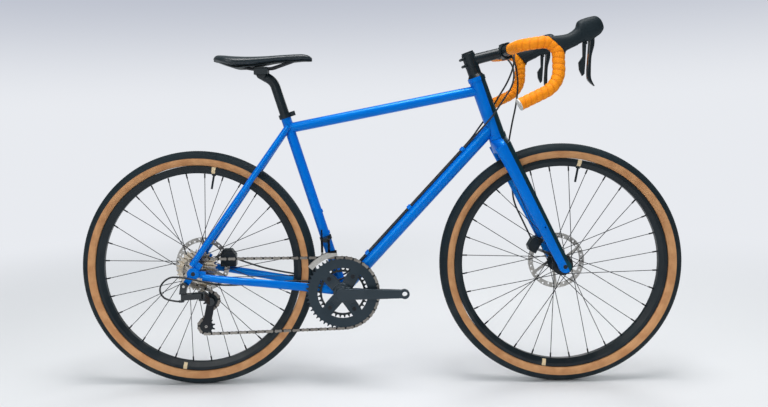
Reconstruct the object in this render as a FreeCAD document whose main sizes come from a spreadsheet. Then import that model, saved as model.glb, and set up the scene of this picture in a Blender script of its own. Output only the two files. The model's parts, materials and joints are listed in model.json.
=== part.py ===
"""Drop-bar gravel bicycle, built from its separate pieces.

Millimetres. +X points forward, +Y to the rider's left and +Z up. The ground is z = 0 and the
origin lies on it midway between the two axles. The chain runs on the -Y side.
"""
import FreeCAD, Part
import math
import os
import re
from types import SimpleNamespace

Vector = FreeCAD.Vector

FRAME_SIZES = {
    "wheel_radius": 339.0,
    "stay_room": 81.0,
    "toe_room": 280.29,
    "bracket_drop": 68.0,
    "head_angle": 71.0,
    "seat_angle": 73.0,
    "fork_rake": 45.0,
    "crown_room": 56.0,
    "crown_gap": 0.8,
    "head_tube_length": 182.0,
    "head_tube_radius": 22.5,
    "head_tube_wall": 2.5,
    "head_ring_radius": 24.5,
    "head_ring_height": 12.0,
    "top_tube_radius": 14.3,
    "top_tube_wall": 1.0,
    "top_tube_seat_drop": 43.0,
    "top_tube_drop": 38.0,
    "down_tube_radius": 18.0,
    "down_tube_wall": 1.2,
    "down_tube_rise": 38.0,
    "seat_tube_length": 530.0,
    "seat_tube_wall": 0.9,
    "shell_radius": 20.5,
    "shell_width": 68.0,
    "shell_wall": 2.5,
    "boss_radius": 5.0,
    "boss_height": 2.0,
    "boss_depth": 8.0,
    "boss_low": 171.0,
    "boss_spacing": 64.0,
    "small_thread_radius": 2.5,
    "stay_root_offset": 24.0,
    "stay_waist_offset": 33.2,
    "stay_end_offset": 75.5,
    "stay_root_tall": 13.0,
    "stay_end_tall": 9.5,
    "stay_root_thick": 8.0,
    "stay_waist_thick": 5.8,
    "stay_end_thick": 6.5,
    "stay_end_drop": 8.0,
    "stay_wall": 1.3,
    "seatstay_radius": 8.8,
    "seatstay_top_offset": 15.0,
    "seatstay_knee_offset": 37.5,
    "seatstay_knee_room": 13.0,
    "seatstay_end_offset": 77.5,
    "seatstay_bend": 180.0,
    "seatstay_rise": 6.0,
    "seatstay_foot_back": 4.0,
    "seatstay_foot_up": 22.0,
    "rear_hub_half": 71.0,
    "front_hub_half": 50.0,
    "dropout_thick": 8.0,
    "dropout_eye_radius": 17.0,
    "hanger_thick": 6.0,
    "hanger_eye_radius": 9.0,
    "hanger_pin_radius": 5.0,
    "hanger_back": 24.0,
    "hanger_fall": 31.0,
    "collar_wall": 3.6,
    "collar_height": 13.0,
    "collar_lug_length": 11.0,
    "collar_lug_width": 15.0,
    "collar_slot": 1.6,
    "collar_bolt_radius": 2.5,
    "clip_radius": 5.2,
    "clip_length": 12.0,
    "clip_spread": 9.0,
    "cup_radius": 21.5,
    "cup_width": 9.0,
    "cup_depth": 12.0,
    "bearing_height": 8.0,
    "fit_gap": 0.05,
    "clear_gap": 0.3,
    "overrun": 5.0,
}

SEAT_SIZES = {
    "seatpost_radius": 13.6,
    "seatpost_wall": 2.2,
    "seatpost_inside": 115.0,
    "seatpost_showing": 96.0,
    "seatpost_setback": 34.0,
    "seatpost_head_rise": 20.0,
    "seatpost_bend": 42.0,
    "head_barrel_radius": 13.0,
    "head_barrel_width": 40.0,
    "rail_radius": 3.5,
    "rail_spread": 22.0,
    "rail_rise": 16.5,
    "clamp_length": 38.0,
    "clamp_plate_height": 4.0,
    "clamp_bolt_head": 2.0,
    "clamp_bolt_radius": 3.0,
    "saddle_length": 275.0,
    "saddle_width": 142.0,
    "saddle_depth": 32.0,
    "saddle_rise": 54.0,
    "saddle_setback": 131.0,
    "shell_skin": 2.0,
    "rail_nose_reach": 94.0,
    "rail_tail_reach": 90.0,
    "rail_nose_rise": 20.0,
    "rail_tail_rise": 12.0,
    "rail_flat_fore": 30.0,
    "rail_flat_aft": 26.0,
    "rail_tail_spread": 34.0,
    "rail_nose_spread": 11.0,
    "rail_bend": 18.0,
}

WHEEL_SIZES = {
    "tyre_width": 47.0,
    "tyre_wall": 3.2,
    "tyre_bead": 4.0,
    "tyre_height": 47.0,
    "rim_hook": 5.0,
    "rim_depth": 17.0,
    "rim_half_width": 13.2,
    "rim_lip": 1.6,
    "rim_wall": 2.0,
    "rim_well": 4.5,
    "spoke_radius": 1.0,
    "nipple_radius": 2.1,
    "nipple_length": 13.0,
    "nipple_gap": 0.7,
    "spoke_slope_room": 2.4,
    "valve_radius": 3.0,
    "valve_length": 42.0,
    "flange_radius": 29.0,
    "flange_thick": 3.2,
    "flange_hole_inset": 3.8,
    "hub_barrel_radius": 13.5,
    "hub_cap_radius": 10.5,
    "hub_cap_length": 3.4,
    "axle_radius": 6.0,
    "axle_head_radius": 9.0,
    "axle_head_length": 3.0,
    "freewheel_axle_radius": 8.0,
    "front_flange_left": 21.0,
    "front_flange_right": 33.0,
    "rear_flange_left": 34.0,
    "rear_flange_right": 18.5,
    "rotor_inset": 15.3,
    "rotor_radius": 80.0,
    "rotor_track": 14.0,
    "rotor_thick": 1.8,
    "rotor_carrier_radius": 17.0,
    "rotor_ring_radius": 23.0,
    "rotor_lock_radius": 20.5,
    "rotor_lock_length": 4.0,
    "rotor_arm_width": 8.0,
    "rotor_vent_radius": 2.6,
}

STEERING_SIZES = {
    "steerer_radius": 14.3,
    "steerer_wall": 2.3,
    "crown_depth": 36.0,
    "crown_half_width": 54.0,
    "crown_neck": 10.0,
    "crown_neck_half_width": 44.0,
    "crown_socket": 6.0,
    "crown_half_length": 24.5,
    "blade_top_offset": 41.0,
    "blade_top_half_length": 24.0,
    "blade_top_half_width": 12.0,
    "blade_end_half_length": 16.5,
    "blade_end_half_width": 5.6,
    "blade_setback": 1.0,
    "fork_end_radius": 17.0,
    "fork_end_thick": 12.0,
    "eyelet_up": 111.0,
    "eyelet_depth": 11.0,
    "eyelet_proud": 1.2,
    "cover_radius": 23.0,
    "cover_height": 8.0,
    "spacer_radius": 18.2,
    "spacer_height": 20.6,
    "stem_height": 40.0,
    "stem_length": 100.0,
    "stem_angle": 13.0,
    "stem_clamp_radius": 18.6,
    "stem_body_radius": 15.8,
    "stem_tip_radius": 14.6,
    "stem_face_radius": 20.0,
    "stem_face_width": 44.0,
    "stem_face_split": 1.2,
    "stem_slot": 2.0,
    "cap_height": 5.0,
    "cap_radius": 17.0,
    "stem_bolt_radius": 2.5,
    "stem_bolt_head_radius": 3.8,
    "stem_bolt_head": 4.0,
    "stem_bolt_spread": 15.0,
    "stem_pad_depth": 9.0,
    "stem_bolt_rise": 19.0,
    "bar_clamp_radius": 15.9,
    "bar_radius": 11.9,
    "bar_wall": 2.0,
    "bar_clamp_half": 34.0,
    "bar_taper_end": 62.0,
    "bar_half_width": 205.0,
    "bar_reach": 89.0,
    "bar_ramp_rise": 9.0,
    "bar_drop": 150.0,
    "bar_hook_fall": 104.0,
    "bar_tail_back": 10.0,
    "bar_flare": 18.0,
    "bar_corner_bend": 45.0,
    "bar_hook_bend": 36.0,
    "bar_drop_bend": 64.0,
    "tape_radius": 16.0,
    "tape_start": 66.0,
    "plug_length": 14.0,
    "plug_flange": 3.0,
    "hood_length": 128.0,
    "hood_height": 92.0,
    "hood_width": 37.0,
    "hood_start_ahead": 68.0,
    "hood_start_drop": 26.0,
    "lever_length": 124.0,
    "lever_depth": 26.0,
    "lever_width": 15.0,
    "lever_eye_radius": 8.0,
    "lever_pivot_ahead": 171.0,
    "lever_pivot_rise": 16.0,
    "lever_side_gap": 0.6,
    "pivot_pin_radius": 2.4,
    "paddle_length": 84.0,
    "paddle_depth": 19.0,
    "paddle_width": 9.0,
    "paddle_behind": 11.5,
    "paddle_below": 14.0,
    "paddle_hinge_behind": 5.0,
    "paddle_hinge_below": 2.0,
    "paddle_hinge_radius": 3.0,
    "paddle_hinge_ahead": 6.8,
    "paddle_hinge_length": 11.0,
}

DRIVE_SIZES = {
    "chain_pitch": 12.7,
    "chain_line": 46.0,
    "roller_radius": 3.85,
    "roller_width": 2.2,
    "link_plate": 0.65,
    "link_play": 0.05,
    "link_half_height": 4.25,
    "link_waist": 1.2,
    "rivet_radius": 1.7,
    "rivet_proud": 0.2,
    "gullet_radius": 4.1,
    "tooth_height": 3.4,
    "tooth_tip": 1.3,
    "ring_thick": 1.8,
    "ring_spacing": 7.3,
    "ring_band": 15.0,
    "ring_bolt_circle": 55.0,
    "ring_tab_radius": 15.0,
    "ring_bolt_radius": 4.0,
    "ring_bolt_head_radius": 6.0,
    "ring_bolt_head": 1.5,
    "cog_pitch": 3.74,
    "cog_thick": 1.6,
    "cog_core_radius": 16.8,
    "freehub_radius": 15.0,
    "lockring_radius": 15.8,
    "lockring_thick": 2.2,
    "crank_length": 172.5,
    "crank_end_radius": 13.5,
    "crank_root_radius": 19.0,
    "crank_end_inner": 60.0,
    "crank_end_outer": 73.0,
    "crank_root_inner": 48.2,
    "crank_root_outer": 67.0,
    "left_root_inner": 44.5,
    "left_root_outer": 63.0,
    "pedal_thread_radius": 7.14,
    "spindle_radius": 12.0,
    "spindle_wall": 2.5,
    "spindle_press": 5.0,
    "spider_tab_inner": 39.6,
    "spider_arm_width": 34.0,
    "spider_hub_radius": 27.0,
    "spider_outer": 52.0,
    "pinch_bolt_radius": 2.6,
    "guide_ahead": 42.0,
    "guide_fall": 83.0,
    "cage_length": 77.0,
    "cage_plate": 1.5,
    "cage_gap": 3.6,
    "cage_end_radius": 11.0,
    "pulley_bolt_radius": 2.5,
    "pulley_thick": 1.9,
    "cage_pin_radius": 4.0,
    "cage_pin_length": 10.0,
    "adjuster_radius": 3.6,
    "adjuster_length": 4.6,
    "knuckle_radius": 10.5,
    "knuckle_width": 14.0,
    "knuckle_fall": 31.0,
    "knuckle_back": 6.0,
    "link_span": 50.0,
    "link_inward": 14.0,
    "link_thick": 4.5,
    "link_height": 17.0,
    "link_separation": 11.0,
    "link_pin_radius": 2.0,
    "lower_knuckle_radius": 12.0,
    "lower_knuckle_width": 15.0,
    "shifter_clamp_height": 150.0,
    "shifter_pivot_offset": 42.0,
    "shifter_band": 12.0,
    "shifter_band_wall": 2.6,
    "shifter_arm_radius": 4.0,
    "shifter_block_length": 26.0,
    "shifter_plate": 1.2,
    "shifter_plate_lift": 3.0,
    "shifter_plate_height": 15.0,
    "shifter_outer_gap": 5.0,
    "shifter_inner_gap": 5.4,
    "shifter_lever_rise": 30.0,
}

BRAKE_SIZES = {
    "caliper_length": 46.0,
    "caliper_inner_width": 12.0,
    "caliper_outer_width": 17.0,
    "caliper_slot": 4.4,
    "front_caliper_height": 30.0,
    "front_caliper_back": 62.0,
    "front_caliper_up": 49.0,
    "rear_caliper_height": 50.0,
    "rear_caliper_ahead": 78.0,
    "rear_caliper_up": 19.0,
    "hose_radius": 2.5,
    "cord_step": 10.0,
    "clip_lead": 40.0,
}

SIZES = {**FRAME_SIZES, **SEAT_SIZES, **WHEEL_SIZES, **STEERING_SIZES, **DRIVE_SIZES, **BRAKE_SIZES}

SPOKE_COUNT = 32
SPOKE_CROSSINGS = 3
VALVE_LEAN = 11.0
ROTOR_ARMS = 6
ROTOR_VENTS = 30
RING_TEETH = 50
INNER_RING_TEETH = 34
PULLEY_TEETH = 11
COG_TEETH = [11, 12, 13, 14, 15, 17, 19, 21, 23, 25, 28]
DRIVEN_COG = 5
SPIDER_ANGLES = [58.0, 133.0, 228.0, 305.0]
LEVER_PULL = 20.0

CRANK_WAIST_SHARE = 0.84
SPIDER_ROOT_SHARE = 0.85
CHAIN_STEP_SHARES = (0.9, 1.4)
SEATED_SHARE = 0.1
CORD_RUN_SHARE = 0.45
KNUCKLE_ARM_SHARE = 0.9
PIN_REACH_SHARE = 0.62
LUG_SHARE = 1.1
CROWN_FALL_SHARE = 0.34
SIDE_PINCH_SHARE = 0.88
SHOULDER_SHARE = 0.72
SADDLE_BELLY_SHARE = 0.5
SHELL_INSET_SHARE = 0.94
CHAINSTAY_RUN_SHARES = [0.04, 0.17, 0.25, 0.48, 0.94]
CHAINSTAY_SPREAD_SHARES = [0.0, 0.55, 1.0, 0.36, 1.0]
CHAINSTAY_HOLLOW_RUN_SHARES = [0.04, 0.17, 0.25, 0.48, 0.90]
CHAINSTAY_HOLLOW_SPREAD_SHARES = [0.0, 0.55, 1.0, 0.36, 0.944]
SEATSTAY_HOLLOW_SHARE = 0.07
CLIP_RUN_SHARES = [0.17, 0.52, 0.80]
BLADE_RUN_SHARES = [0.0, 0.4, 0.75, 1.0]
BLADE_SWELL_SHARES = [1.0, 0.42, 0.14, 0.0]
HOOD_SPINE_SHARES = [(0.0, 0.28), (0.22, 0.30), (0.46, 0.42), (0.66, 0.58), (0.84, 0.70), (0.97, 0.72)]
HOOD_TALL_SHARES = [0.40, 0.41, 0.46, 0.55, 0.56, 0.30]
HOOD_WIDE_SHARES = [0.80, 0.96, 1.0, 0.94, 0.84, 0.52]
HOOD_TURNS = [8.0, 12.0, 26.0, 38.0, 24.0, 4.0]
LEVER_FRONT_SHARES = [(0.33, -0.05), (0.30, -0.18), (0.04, -0.40), (-0.02, -0.68), (0.02, -0.85), (0.36, -1.0)]
LEVER_REAR_SHARES = [(0.20, -1.0), (-0.30, -0.92), (-0.54, -0.80), (-0.42, -0.50), (-0.36, -0.20), (-0.31, -0.02)]
PADDLE_SHARES = [
    (-0.05, 0.0), (-0.48, -0.03), (-0.46, -0.42), (-1.0, -0.60), (-0.92, -0.82),
    (-0.55, -1.0), (-0.30, -0.94), (-0.16, -0.50),
]
SADDLE_RUN_SHARES = [0.0, 0.035, 0.11, 0.21, 0.36, 0.52, 0.68, 0.82, 0.91, 0.97, 1.0]
SADDLE_WIDE_SHARES = [0.40, 0.68, 0.93, 1.0, 0.84, 0.54, 0.36, 0.30, 0.27, 0.21, 0.11]
SADDLE_TOP_SHARES = [-0.15, 0.05, 0.03, -0.06, -0.12, -0.10, -0.03, 0.01, 0.0, -0.14, -0.34]
SADDLE_DEEP_SHARES = [0.26, 0.48, 0.72, 0.94, 0.84, 0.68, 0.58, 0.60, 0.54, 0.42, 0.20]
CALIPER_SHARES = [(-0.5, -0.5), (0.5, -0.5), (0.5, 0.18), (0.22, 0.5), (-0.30, 0.5), (-0.5, 0.20)]

REAR_HOSE_BAR_SHARES = [
    (1.1, -6.54, -0.98), (1.4, -4.6, -1.4), (2.0, -2.2, -4.0), (0.8, 0.6, -8.5), (-1.4, 2.7, -12.5),
    (-4.1, 3.3, -17.5), (-6.7, 2.8, -20.7),
]
REAR_HOSE_BRACKET_SHARES = [(2.6, 2.0, 5.1), (-0.8, 2.7, 3.1), (-7.0, 2.95, 2.85)]
REAR_HOSE_AXLE_SHARES = [(21.5, 4.9, -2.1), (15.5, 5.5, -0.6), (10.25, 5.57, 1.4)]
SHIFT_BAR_SHARES = [
    (1.1, 6.54, -0.98), (1.6, 4.4, -1.6), (3.0, 2.0, -4.8), (2.0, -0.8, -9.4), (-1.0, -2.8, -13.2),
    (-4.1, -3.3, -17.7), (-6.7, -2.8, -20.8),
]
SHIFT_BRACKET_SHARES = [(2.6, -2.0, 5.1), (-0.8, -2.7, 3.1), (-7.0, -2.95, 2.95), (-12.4, -2.8, 3.3)]
SHIFT_AXLE_SHARES = [
    (24.5, -3.35, -3.6), (20.0, -4.05, -3.9), (14.0, -4.9, -3.95), (9.5, -5.9, -3.85), (6.3, -7.4, -3.3),
    (2.9, -8.75, -2.2), (0.0, -9.15, -1.3), (-3.4, -9.4, -0.6), (-6.5, -9.6, -0.5),
    (-9.0, -9.7, -2.7), (-9.1, -9.7, -5.2), (-7.2, -9.4, -7.1), (-4.12, -9.23, -7.44),
]
FRONT_HOSE_BAR_SHARES = [
    (1.36, 6.5, 0.55), (1.7, 5.2, 0.3), (3.4, 4.7, -1.6), (4.4, 4.8, -5.5), (4.6, 4.8, -10.0), (4.0, 5.0, -15.2),
    (3.0, 5.6, -20.0),
]
FRONT_HOSE_AXLE_SHARES = [
    (-13.3, 6.15, 30.8), (-12.6, 6.25, 26.0), (-11.8, 6.2, 21.2), (-11.6, 5.2, 16.8), (-9.4, 4.0, 11.8),
    (-7.1, 3.6, 6.66),
]

doc = FreeCAD.newDocument("gravel_bicycle")
nodes = {}


def make_sheet():
    """Writes every driving dimension into one sheet and returns the values read back from it."""
    sheet = doc.addObject("Spreadsheet::Sheet", "Sizes")
    for row, (alias, value) in enumerate(SIZES.items(), start=1):
        sheet.set(f"A{row}", alias)
        sheet.set(f"B{row}", str(value))
        sheet.setAlias(f"B{row}", alias)
    doc.recompute()
    return SimpleNamespace(**{alias: float(sheet.get(alias)) for alias in SIZES})


def with_rooms(known):
    """Adds the lengths that follow from the wheel, so that it keeps its room in frame and fork."""
    known.bead_seat_radius = known.wheel_radius - known.tyre_height
    known.rim_edge_radius = known.bead_seat_radius + known.rim_hook
    known.rim_bed_radius = known.bead_seat_radius - known.rim_depth
    known.chainstay_length = known.wheel_radius + known.stay_room
    known.front_centre = known.wheel_radius + known.toe_room
    known.axle_to_crown = known.wheel_radius + known.crown_room
    known.seatstay_knee_reach = known.wheel_radius + known.seatstay_knee_room
    return known


size = with_rooms(make_sheet())


def bind(item, prop, text):
    """Ties a property to the sheet: each known alias in the text becomes a sheet reference."""
    def reference(found):
        word = found.group(0)
        return f"Sizes.{word}" if word in SIZES else word
    item.setExpression(prop, re.sub(r"[a-z_]+", reference, text))


def set_size(item, prop, value):
    """Binds a text formula to the sheet, or sets a length already worked out from it."""
    if isinstance(value, str):
        bind(item, prop, value)
    else:
        setattr(item, prop, value)


def keep(label, item):
    """Names a finished sub-part, so that it is checked and written out."""
    item.Label = label
    nodes[label] = item
    return item


def along(base, direction):
    """Placement whose local Z runs along the direction from the base."""
    return FreeCAD.Placement(base, FreeCAD.Rotation(Vector(0, 0, 1), direction))


def cylinder(name, radius, length, base, direction):
    """Round bar from the base along the direction."""
    item = doc.addObject("Part::Cylinder", name)
    set_size(item, "Radius", radius)
    set_size(item, "Height", length)
    item.Placement = along(base, direction)
    return item


def cut(name, base, tool):
    """Base with the tool's space taken away."""
    item = doc.addObject("Part::Cut", name)
    item.Base = base
    item.Tool = tool
    return item


def fuse(name, items):
    """Several pieces welded into one."""
    item = doc.addObject("Part::MultiFuse", name)
    item.Shapes = items
    item.Refine = True
    return item


def group(name, items):
    """Separate solids that share one node."""
    item = doc.addObject("Part::Compound", name)
    item.Links = items
    return item


def shaped(name, shape):
    """Sub-part whose form is worked out here from the sheet's values."""
    item = doc.addObject("Part::Feature", name)
    item.Shape = shape
    item.Placement = FreeCAD.Placement()
    return item


def turned(name, outline, centre):
    """Body of revolution about a line along Y: the outline is (radius, y) edges in a sketch."""
    body = doc.addObject("PartDesign::Body", name)
    sketch = body.newObject("Sketcher::SketchObject", f"{name}_outline")
    plane = next(item for item in body.Origin.OriginFeatures if item.Role == "XZ_Plane")
    sketch.AttachmentSupport = [(plane, "")]
    sketch.MapMode = "FlatFace"
    for edge in outline:
        sketch.addGeometry(edge, False)
    turn = body.newObject("PartDesign::Revolution", f"{name}_turn")
    turn.Profile = sketch
    turn.ReferenceAxis = (sketch, ["V_Axis"])
    turn.Angle = 360
    body.Tip = turn
    body.Placement = FreeCAD.Placement(centre, FreeCAD.Rotation(Vector(1, 0, 0), -90))
    return body


def closed_lines(points):
    """Straight sketch edges round a closed outline of (radius, y) points."""
    corners = [Vector(radius, offset, 0) for radius, offset in points]
    pairs = zip(corners, corners[1:] + corners[:1])
    return [Part.LineSegment(first, second) for first, second in pairs if first != second]


def wire_of(points):
    """Closed wire of straight edges through points in space."""
    return Part.makePolygon(points + points[:1])


def circle_wire(centre, direction, radius):
    """Round wire square to the direction."""
    return Part.Wire([Part.Circle(centre, direction, radius).toShape()])


def oval_wire(centre, long_way, wide_way, half_long, half_wide):
    """Elliptical wire with its longer half along long_way."""
    curve = Part.Ellipse(centre + long_way * half_long, centre + wide_way * half_wide, centre)
    return Part.Wire([curve.toShape()])


def round_bar(base, direction, radius, length):
    """Round solid from the base along the direction."""
    return Part.makeCylinder(radius, length, base, direction)


def slab(points, direction):
    """Flat outline pushed along a direction into a solid."""
    return Part.Face(wire_of(points)).extrude(direction)


def rounded_path(points, bends):
    """Wire through the points whose inner corners are arcs of the given bend radii."""
    edges = []
    start = points[0]
    for before, corner, after, bend in zip(points, points[1:], points[2:], bends):
        back = (before - corner).normalize()
        ahead = (after - corner).normalize()
        half_turn = (math.pi - back.getAngle(ahead)) / 2
        tangent = bend * math.tan(half_turn)
        enter = corner + back * tangent
        leave = corner + ahead * tangent
        middle_way = (back + ahead).normalize()
        middle = corner + middle_way * (bend / math.cos(half_turn) - bend)
        edges.append(Part.LineSegment(start, enter).toShape())
        edges.append(Part.Arc(enter, middle, leave).toShape())
        start = leave
    edges.append(Part.LineSegment(start, points[-1]).toShape())
    return Part.Wire(edges)


def pipe(path, radius):
    """Round solid swept along a wire."""
    first = path.Edges[0]
    way = first.tangentAt(first.FirstParameter)
    profile = circle_wire(first.valueAt(first.FirstParameter), way, radius)
    return path.makePipeShell([profile], True, False)


def cord_bends(points):
    """Bend radii as large as the two runs at each point of a cord allow."""
    bends = []
    for before, corner, after in zip(points, points[1:], points[2:]):
        back = before - corner
        ahead = after - corner
        half_turn = (math.pi - back.getAngle(ahead)) / 2
        bends.append(CORD_RUN_SHARE * min(back.Length, ahead.Length) / math.tan(half_turn))
    return bends


def cord(points, radius):
    """Hose or housing along its route, with its volume compared with section times length."""
    bends = cord_bends(points)
    path = rounded_path(points, bends)
    solid = pipe(path, radius)
    expected = math.pi * radius ** 2 * path.Length
    print("cord", round(path.Length), "mm, radii", [round(bend) for bend in bends],
          "volume share", round(solid.Volume / expected, 3))
    return solid


def frame_points():
    """The points and directions that all the pieces hang on."""
    head = math.radians(size.head_angle)
    seat = math.radians(size.seat_angle)
    stay_run = math.sqrt(size.chainstay_length ** 2 - size.bracket_drop ** 2)
    front_run = math.sqrt(size.front_centre ** 2 - size.bracket_drop ** 2)
    rear_axle = Vector(-(stay_run + front_run) / 2, 0, size.wheel_radius)
    front_axle = Vector((stay_run + front_run) / 2, 0, size.wheel_radius)
    bracket = rear_axle + Vector(stay_run, 0, -size.bracket_drop)
    head_up = Vector(-math.cos(head), 0, math.sin(head))
    head_ahead = Vector(math.sin(head), 0, math.cos(head))
    crown_run = math.sqrt(size.axle_to_crown ** 2 - size.fork_rake ** 2)
    crown = front_axle - head_ahead * size.fork_rake + head_up * crown_run
    head_low = crown + head_up * size.crown_gap
    head_top = head_low + head_up * size.head_tube_length
    seat_up = Vector(-math.cos(seat), 0, math.sin(seat))
    seat_ahead = Vector(math.sin(seat), 0, math.cos(seat))
    stem_low = head_top + head_up * (size.clear_gap + size.cover_height + size.spacer_height)
    stem_turn = math.radians(size.stem_angle)
    stem_way = Vector(math.cos(stem_turn), 0, math.sin(stem_turn))
    stem_root = stem_low + head_up * (size.stem_height / 2)
    return SimpleNamespace(
        rear_axle=rear_axle, front_axle=front_axle, bracket=bracket, head_up=head_up, head_ahead=head_ahead,
        crown=crown, head_low=head_low, head_top=head_top, seat_up=seat_up, seat_ahead=seat_ahead,
        seat_top=bracket + seat_up * size.seat_tube_length,
        seat_joint=bracket + seat_up * (size.seat_tube_length - size.top_tube_seat_drop),
        head_joint=head_top - head_up * size.top_tube_drop,
        down_joint=head_low + head_up * size.down_tube_rise,
        stem_low=stem_low, stem_root=stem_root, stem_way=stem_way,
        bar=stem_root + stem_way * size.stem_length,
    )


at = frame_points()
LEFT = Vector(0, 1, 0)
UP = Vector(0, 0, 1)
AHEAD = Vector(1, 0, 0)
SIDES = (-1, 1)
seat_tube_radius = size.seatpost_radius + size.fit_gap + size.seat_tube_wall


def straight_tube(name, start, end, radius, wall, copes):
    """Hollow frame tube from start to end, mitred to the tubes that it meets."""
    length = (end - start).Length
    way = (end - start).normalize()
    outside = cylinder(f"{name}_outside", radius, length, start, way)
    inside = cylinder(f"{name}_inside", f"{radius} - {wall}", length, start, way)
    item = cut(f"{name}_tube", outside, inside)
    for number, cope in enumerate(copes):
        item = cut(f"{name}_mitre_{number}", item, cope)
    return item


def build_head_tube():
    """Head tube with a raised ring at each end, bored through for the steerer and its bearings."""
    main = cylinder("head_tube_main", "head_tube_radius", "head_tube_length", at.head_low, at.head_up)
    low = cylinder("head_tube_low_ring", "head_ring_radius", "head_ring_height", at.head_low, at.head_up)
    top = cylinder("head_tube_top_ring", "head_ring_radius", "head_ring_height", at.head_top, at.head_up * -1)
    bore = cylinder("head_tube_bore", "head_tube_radius - head_tube_wall", "head_tube_length", at.head_low,
                    at.head_up)
    keep("head_tube", cut("head_tube_shell", fuse("head_tube_body", [main, low, top]), bore))


def build_bracket_shell():
    """Bottom bracket shell across the frame."""
    start = at.bracket - LEFT * (size.shell_width / 2)
    outside = cylinder("shell_outside", "shell_radius", "shell_width", start, LEFT)
    inside = cylinder("shell_inside", "shell_radius - shell_wall", "shell_width", start, LEFT)
    keep("bottom_bracket_shell", cut("shell_tube", outside, inside))


def mitre(name, radius, base, direction):
    """Long bar that copes a tube's end to the tube it meets."""
    reach = size.head_tube_length * 2
    return cylinder(name, radius, reach * 2, base - direction * reach, direction)


def build_main_tubes():
    """Top tube, down tube with its cable clips, and the seat tube with its bottle bosses."""
    tops = [
        mitre("top_tube_seat_cope", seat_tube_radius, at.seat_joint, at.seat_up),
        mitre("top_tube_head_cope", "head_tube_radius", at.head_joint, at.head_up),
    ]
    top = straight_tube("top_tube", at.seat_joint, at.head_joint, "top_tube_radius", "top_tube_wall", tops)
    keep("top_tube", top)
    downs = [
        mitre("down_tube_shell_cope", "shell_radius", at.bracket, LEFT),
        mitre("down_tube_head_cope", "head_ring_radius", at.down_joint, at.head_up),
        mitre("down_tube_seat_cope", seat_tube_radius, at.bracket, at.seat_up),
    ]
    plain = straight_tube("down_tube", at.bracket, at.down_joint, "down_tube_radius", "down_tube_wall", downs)
    keep("down_tube", fuse("down_tube_clipped", [plain] + cable_clips()))
    build_seat_tube()


def down_tube_ways():
    """The down tube's own direction and the direction out of its upper side."""
    way = (at.down_joint - at.bracket).normalize()
    return way, way.cross(LEFT).normalize()


def clip_lift():
    """Height of a clipped hose's middle over the down tube's middle line."""
    across = size.clip_spread
    return math.sqrt((size.down_tube_radius + size.hose_radius + size.clear_gap) ** 2 - across ** 2)


def cable_clips():
    """Small saddles brazed on the down tube's upper side, one pair for each clipping place."""
    way, out = down_tube_ways()
    clips = []
    for number, share in enumerate(CLIP_RUN_SHARES):
        middle = at.down_joint + (at.bracket - at.down_joint) * share
        for side in SIDES:
            place = middle + out * clip_lift() + LEFT * (side * size.clip_spread)
            start = place - way * (size.clip_length / 2)
            block = cylinder(f"clip_block_{number}_{side}", "clip_radius", "clip_length", start, way)
            hollow = cylinder(f"clip_tube_{number}_{side}", "down_tube_radius - down_tube_wall / 2",
                              "clip_length", middle - way * (size.clip_length / 2), way)
            bore = cylinder(f"clip_bore_{number}_{side}", "hose_radius + clear_gap / 2", "clip_length", start, way)
            clear = cut(f"clip_seat_{number}_{side}", block, hollow)
            clips.append(cut(f"clip_{number}_{side}", clear, bore))
    return clips


def boss_place(number):
    """Middle of a bottle boss on the seat tube's middle line."""
    return at.bracket + at.seat_up * (size.boss_low + number * size.boss_spacing)


def build_seat_tube():
    """Seat tube, bored for the post, with two threaded bottle bosses on its front."""
    length = size.seat_tube_length
    outside = cylinder("seat_tube_outside", seat_tube_radius, "seat_tube_length", at.bracket, at.seat_up)
    inside = cylinder("seat_tube_inside", "seatpost_radius + fit_gap", length, at.bracket, at.seat_up)
    cope = mitre("seat_tube_cope", "shell_radius", at.bracket, LEFT)
    tube = cut("seat_tube_mitred", cut("seat_tube_bored", outside, inside), cope)
    bosses = []
    holes = []
    for number in range(2):
        face = boss_place(number) + at.seat_ahead * (seat_tube_radius + size.boss_height)
        inward = at.seat_ahead * -1
        depth = size.boss_height + size.boss_depth
        bosses.append(cylinder(f"boss_{number}", "boss_radius", depth, face, inward))
        holes.append(cylinder(f"boss_thread_{number}", "small_thread_radius", depth, face, inward))
    welded = fuse("seat_tube_bossed", [tube] + bosses)
    keep("seat_tube", cut("seat_tube_threaded", welded, group("boss_threads", holes)))


def chainstay_loft(side, run_shares, spread_shares, inset):
    """Loft through the chainstay's ovals, drawn in by an inset for its hollow."""
    end = at.rear_axle - UP * size.stay_end_drop
    run = end - at.bracket
    square_up = run.cross(LEFT).normalize()
    offsets = (size.stay_root_offset, size.stay_waist_offset, size.stay_end_offset)
    thicks = (size.stay_root_thick, size.stay_waist_thick, size.stay_end_thick)
    sections = []
    for number, (share, spread) in enumerate(zip(run_shares, spread_shares)):
        part = 0 if number < 3 else 1
        offset = offsets[part] + (offsets[part + 1] - offsets[part]) * spread
        thick = thicks[part] + (thicks[part + 1] - thicks[part]) * spread
        tall = size.stay_root_tall + (size.stay_end_tall - size.stay_root_tall) * share
        centre = at.bracket + run * share + LEFT * (side * offset)
        sections.append(oval_wire(centre, square_up, LEFT, tall - inset, thick - inset))
    return Part.makeLoft(sections, True, False)


def chainstay_shape(side):
    """One chainstay: hollow ovals from the shell, waisted beside the ring and tyre, out to the dropout."""
    outside = chainstay_loft(side, CHAINSTAY_RUN_SHARES, CHAINSTAY_SPREAD_SHARES, 0)
    return outside.cut(chainstay_loft(side, CHAINSTAY_HOLLOW_RUN_SHARES, CHAINSTAY_HOLLOW_SPREAD_SHARES,
                                      size.stay_wall))


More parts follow.
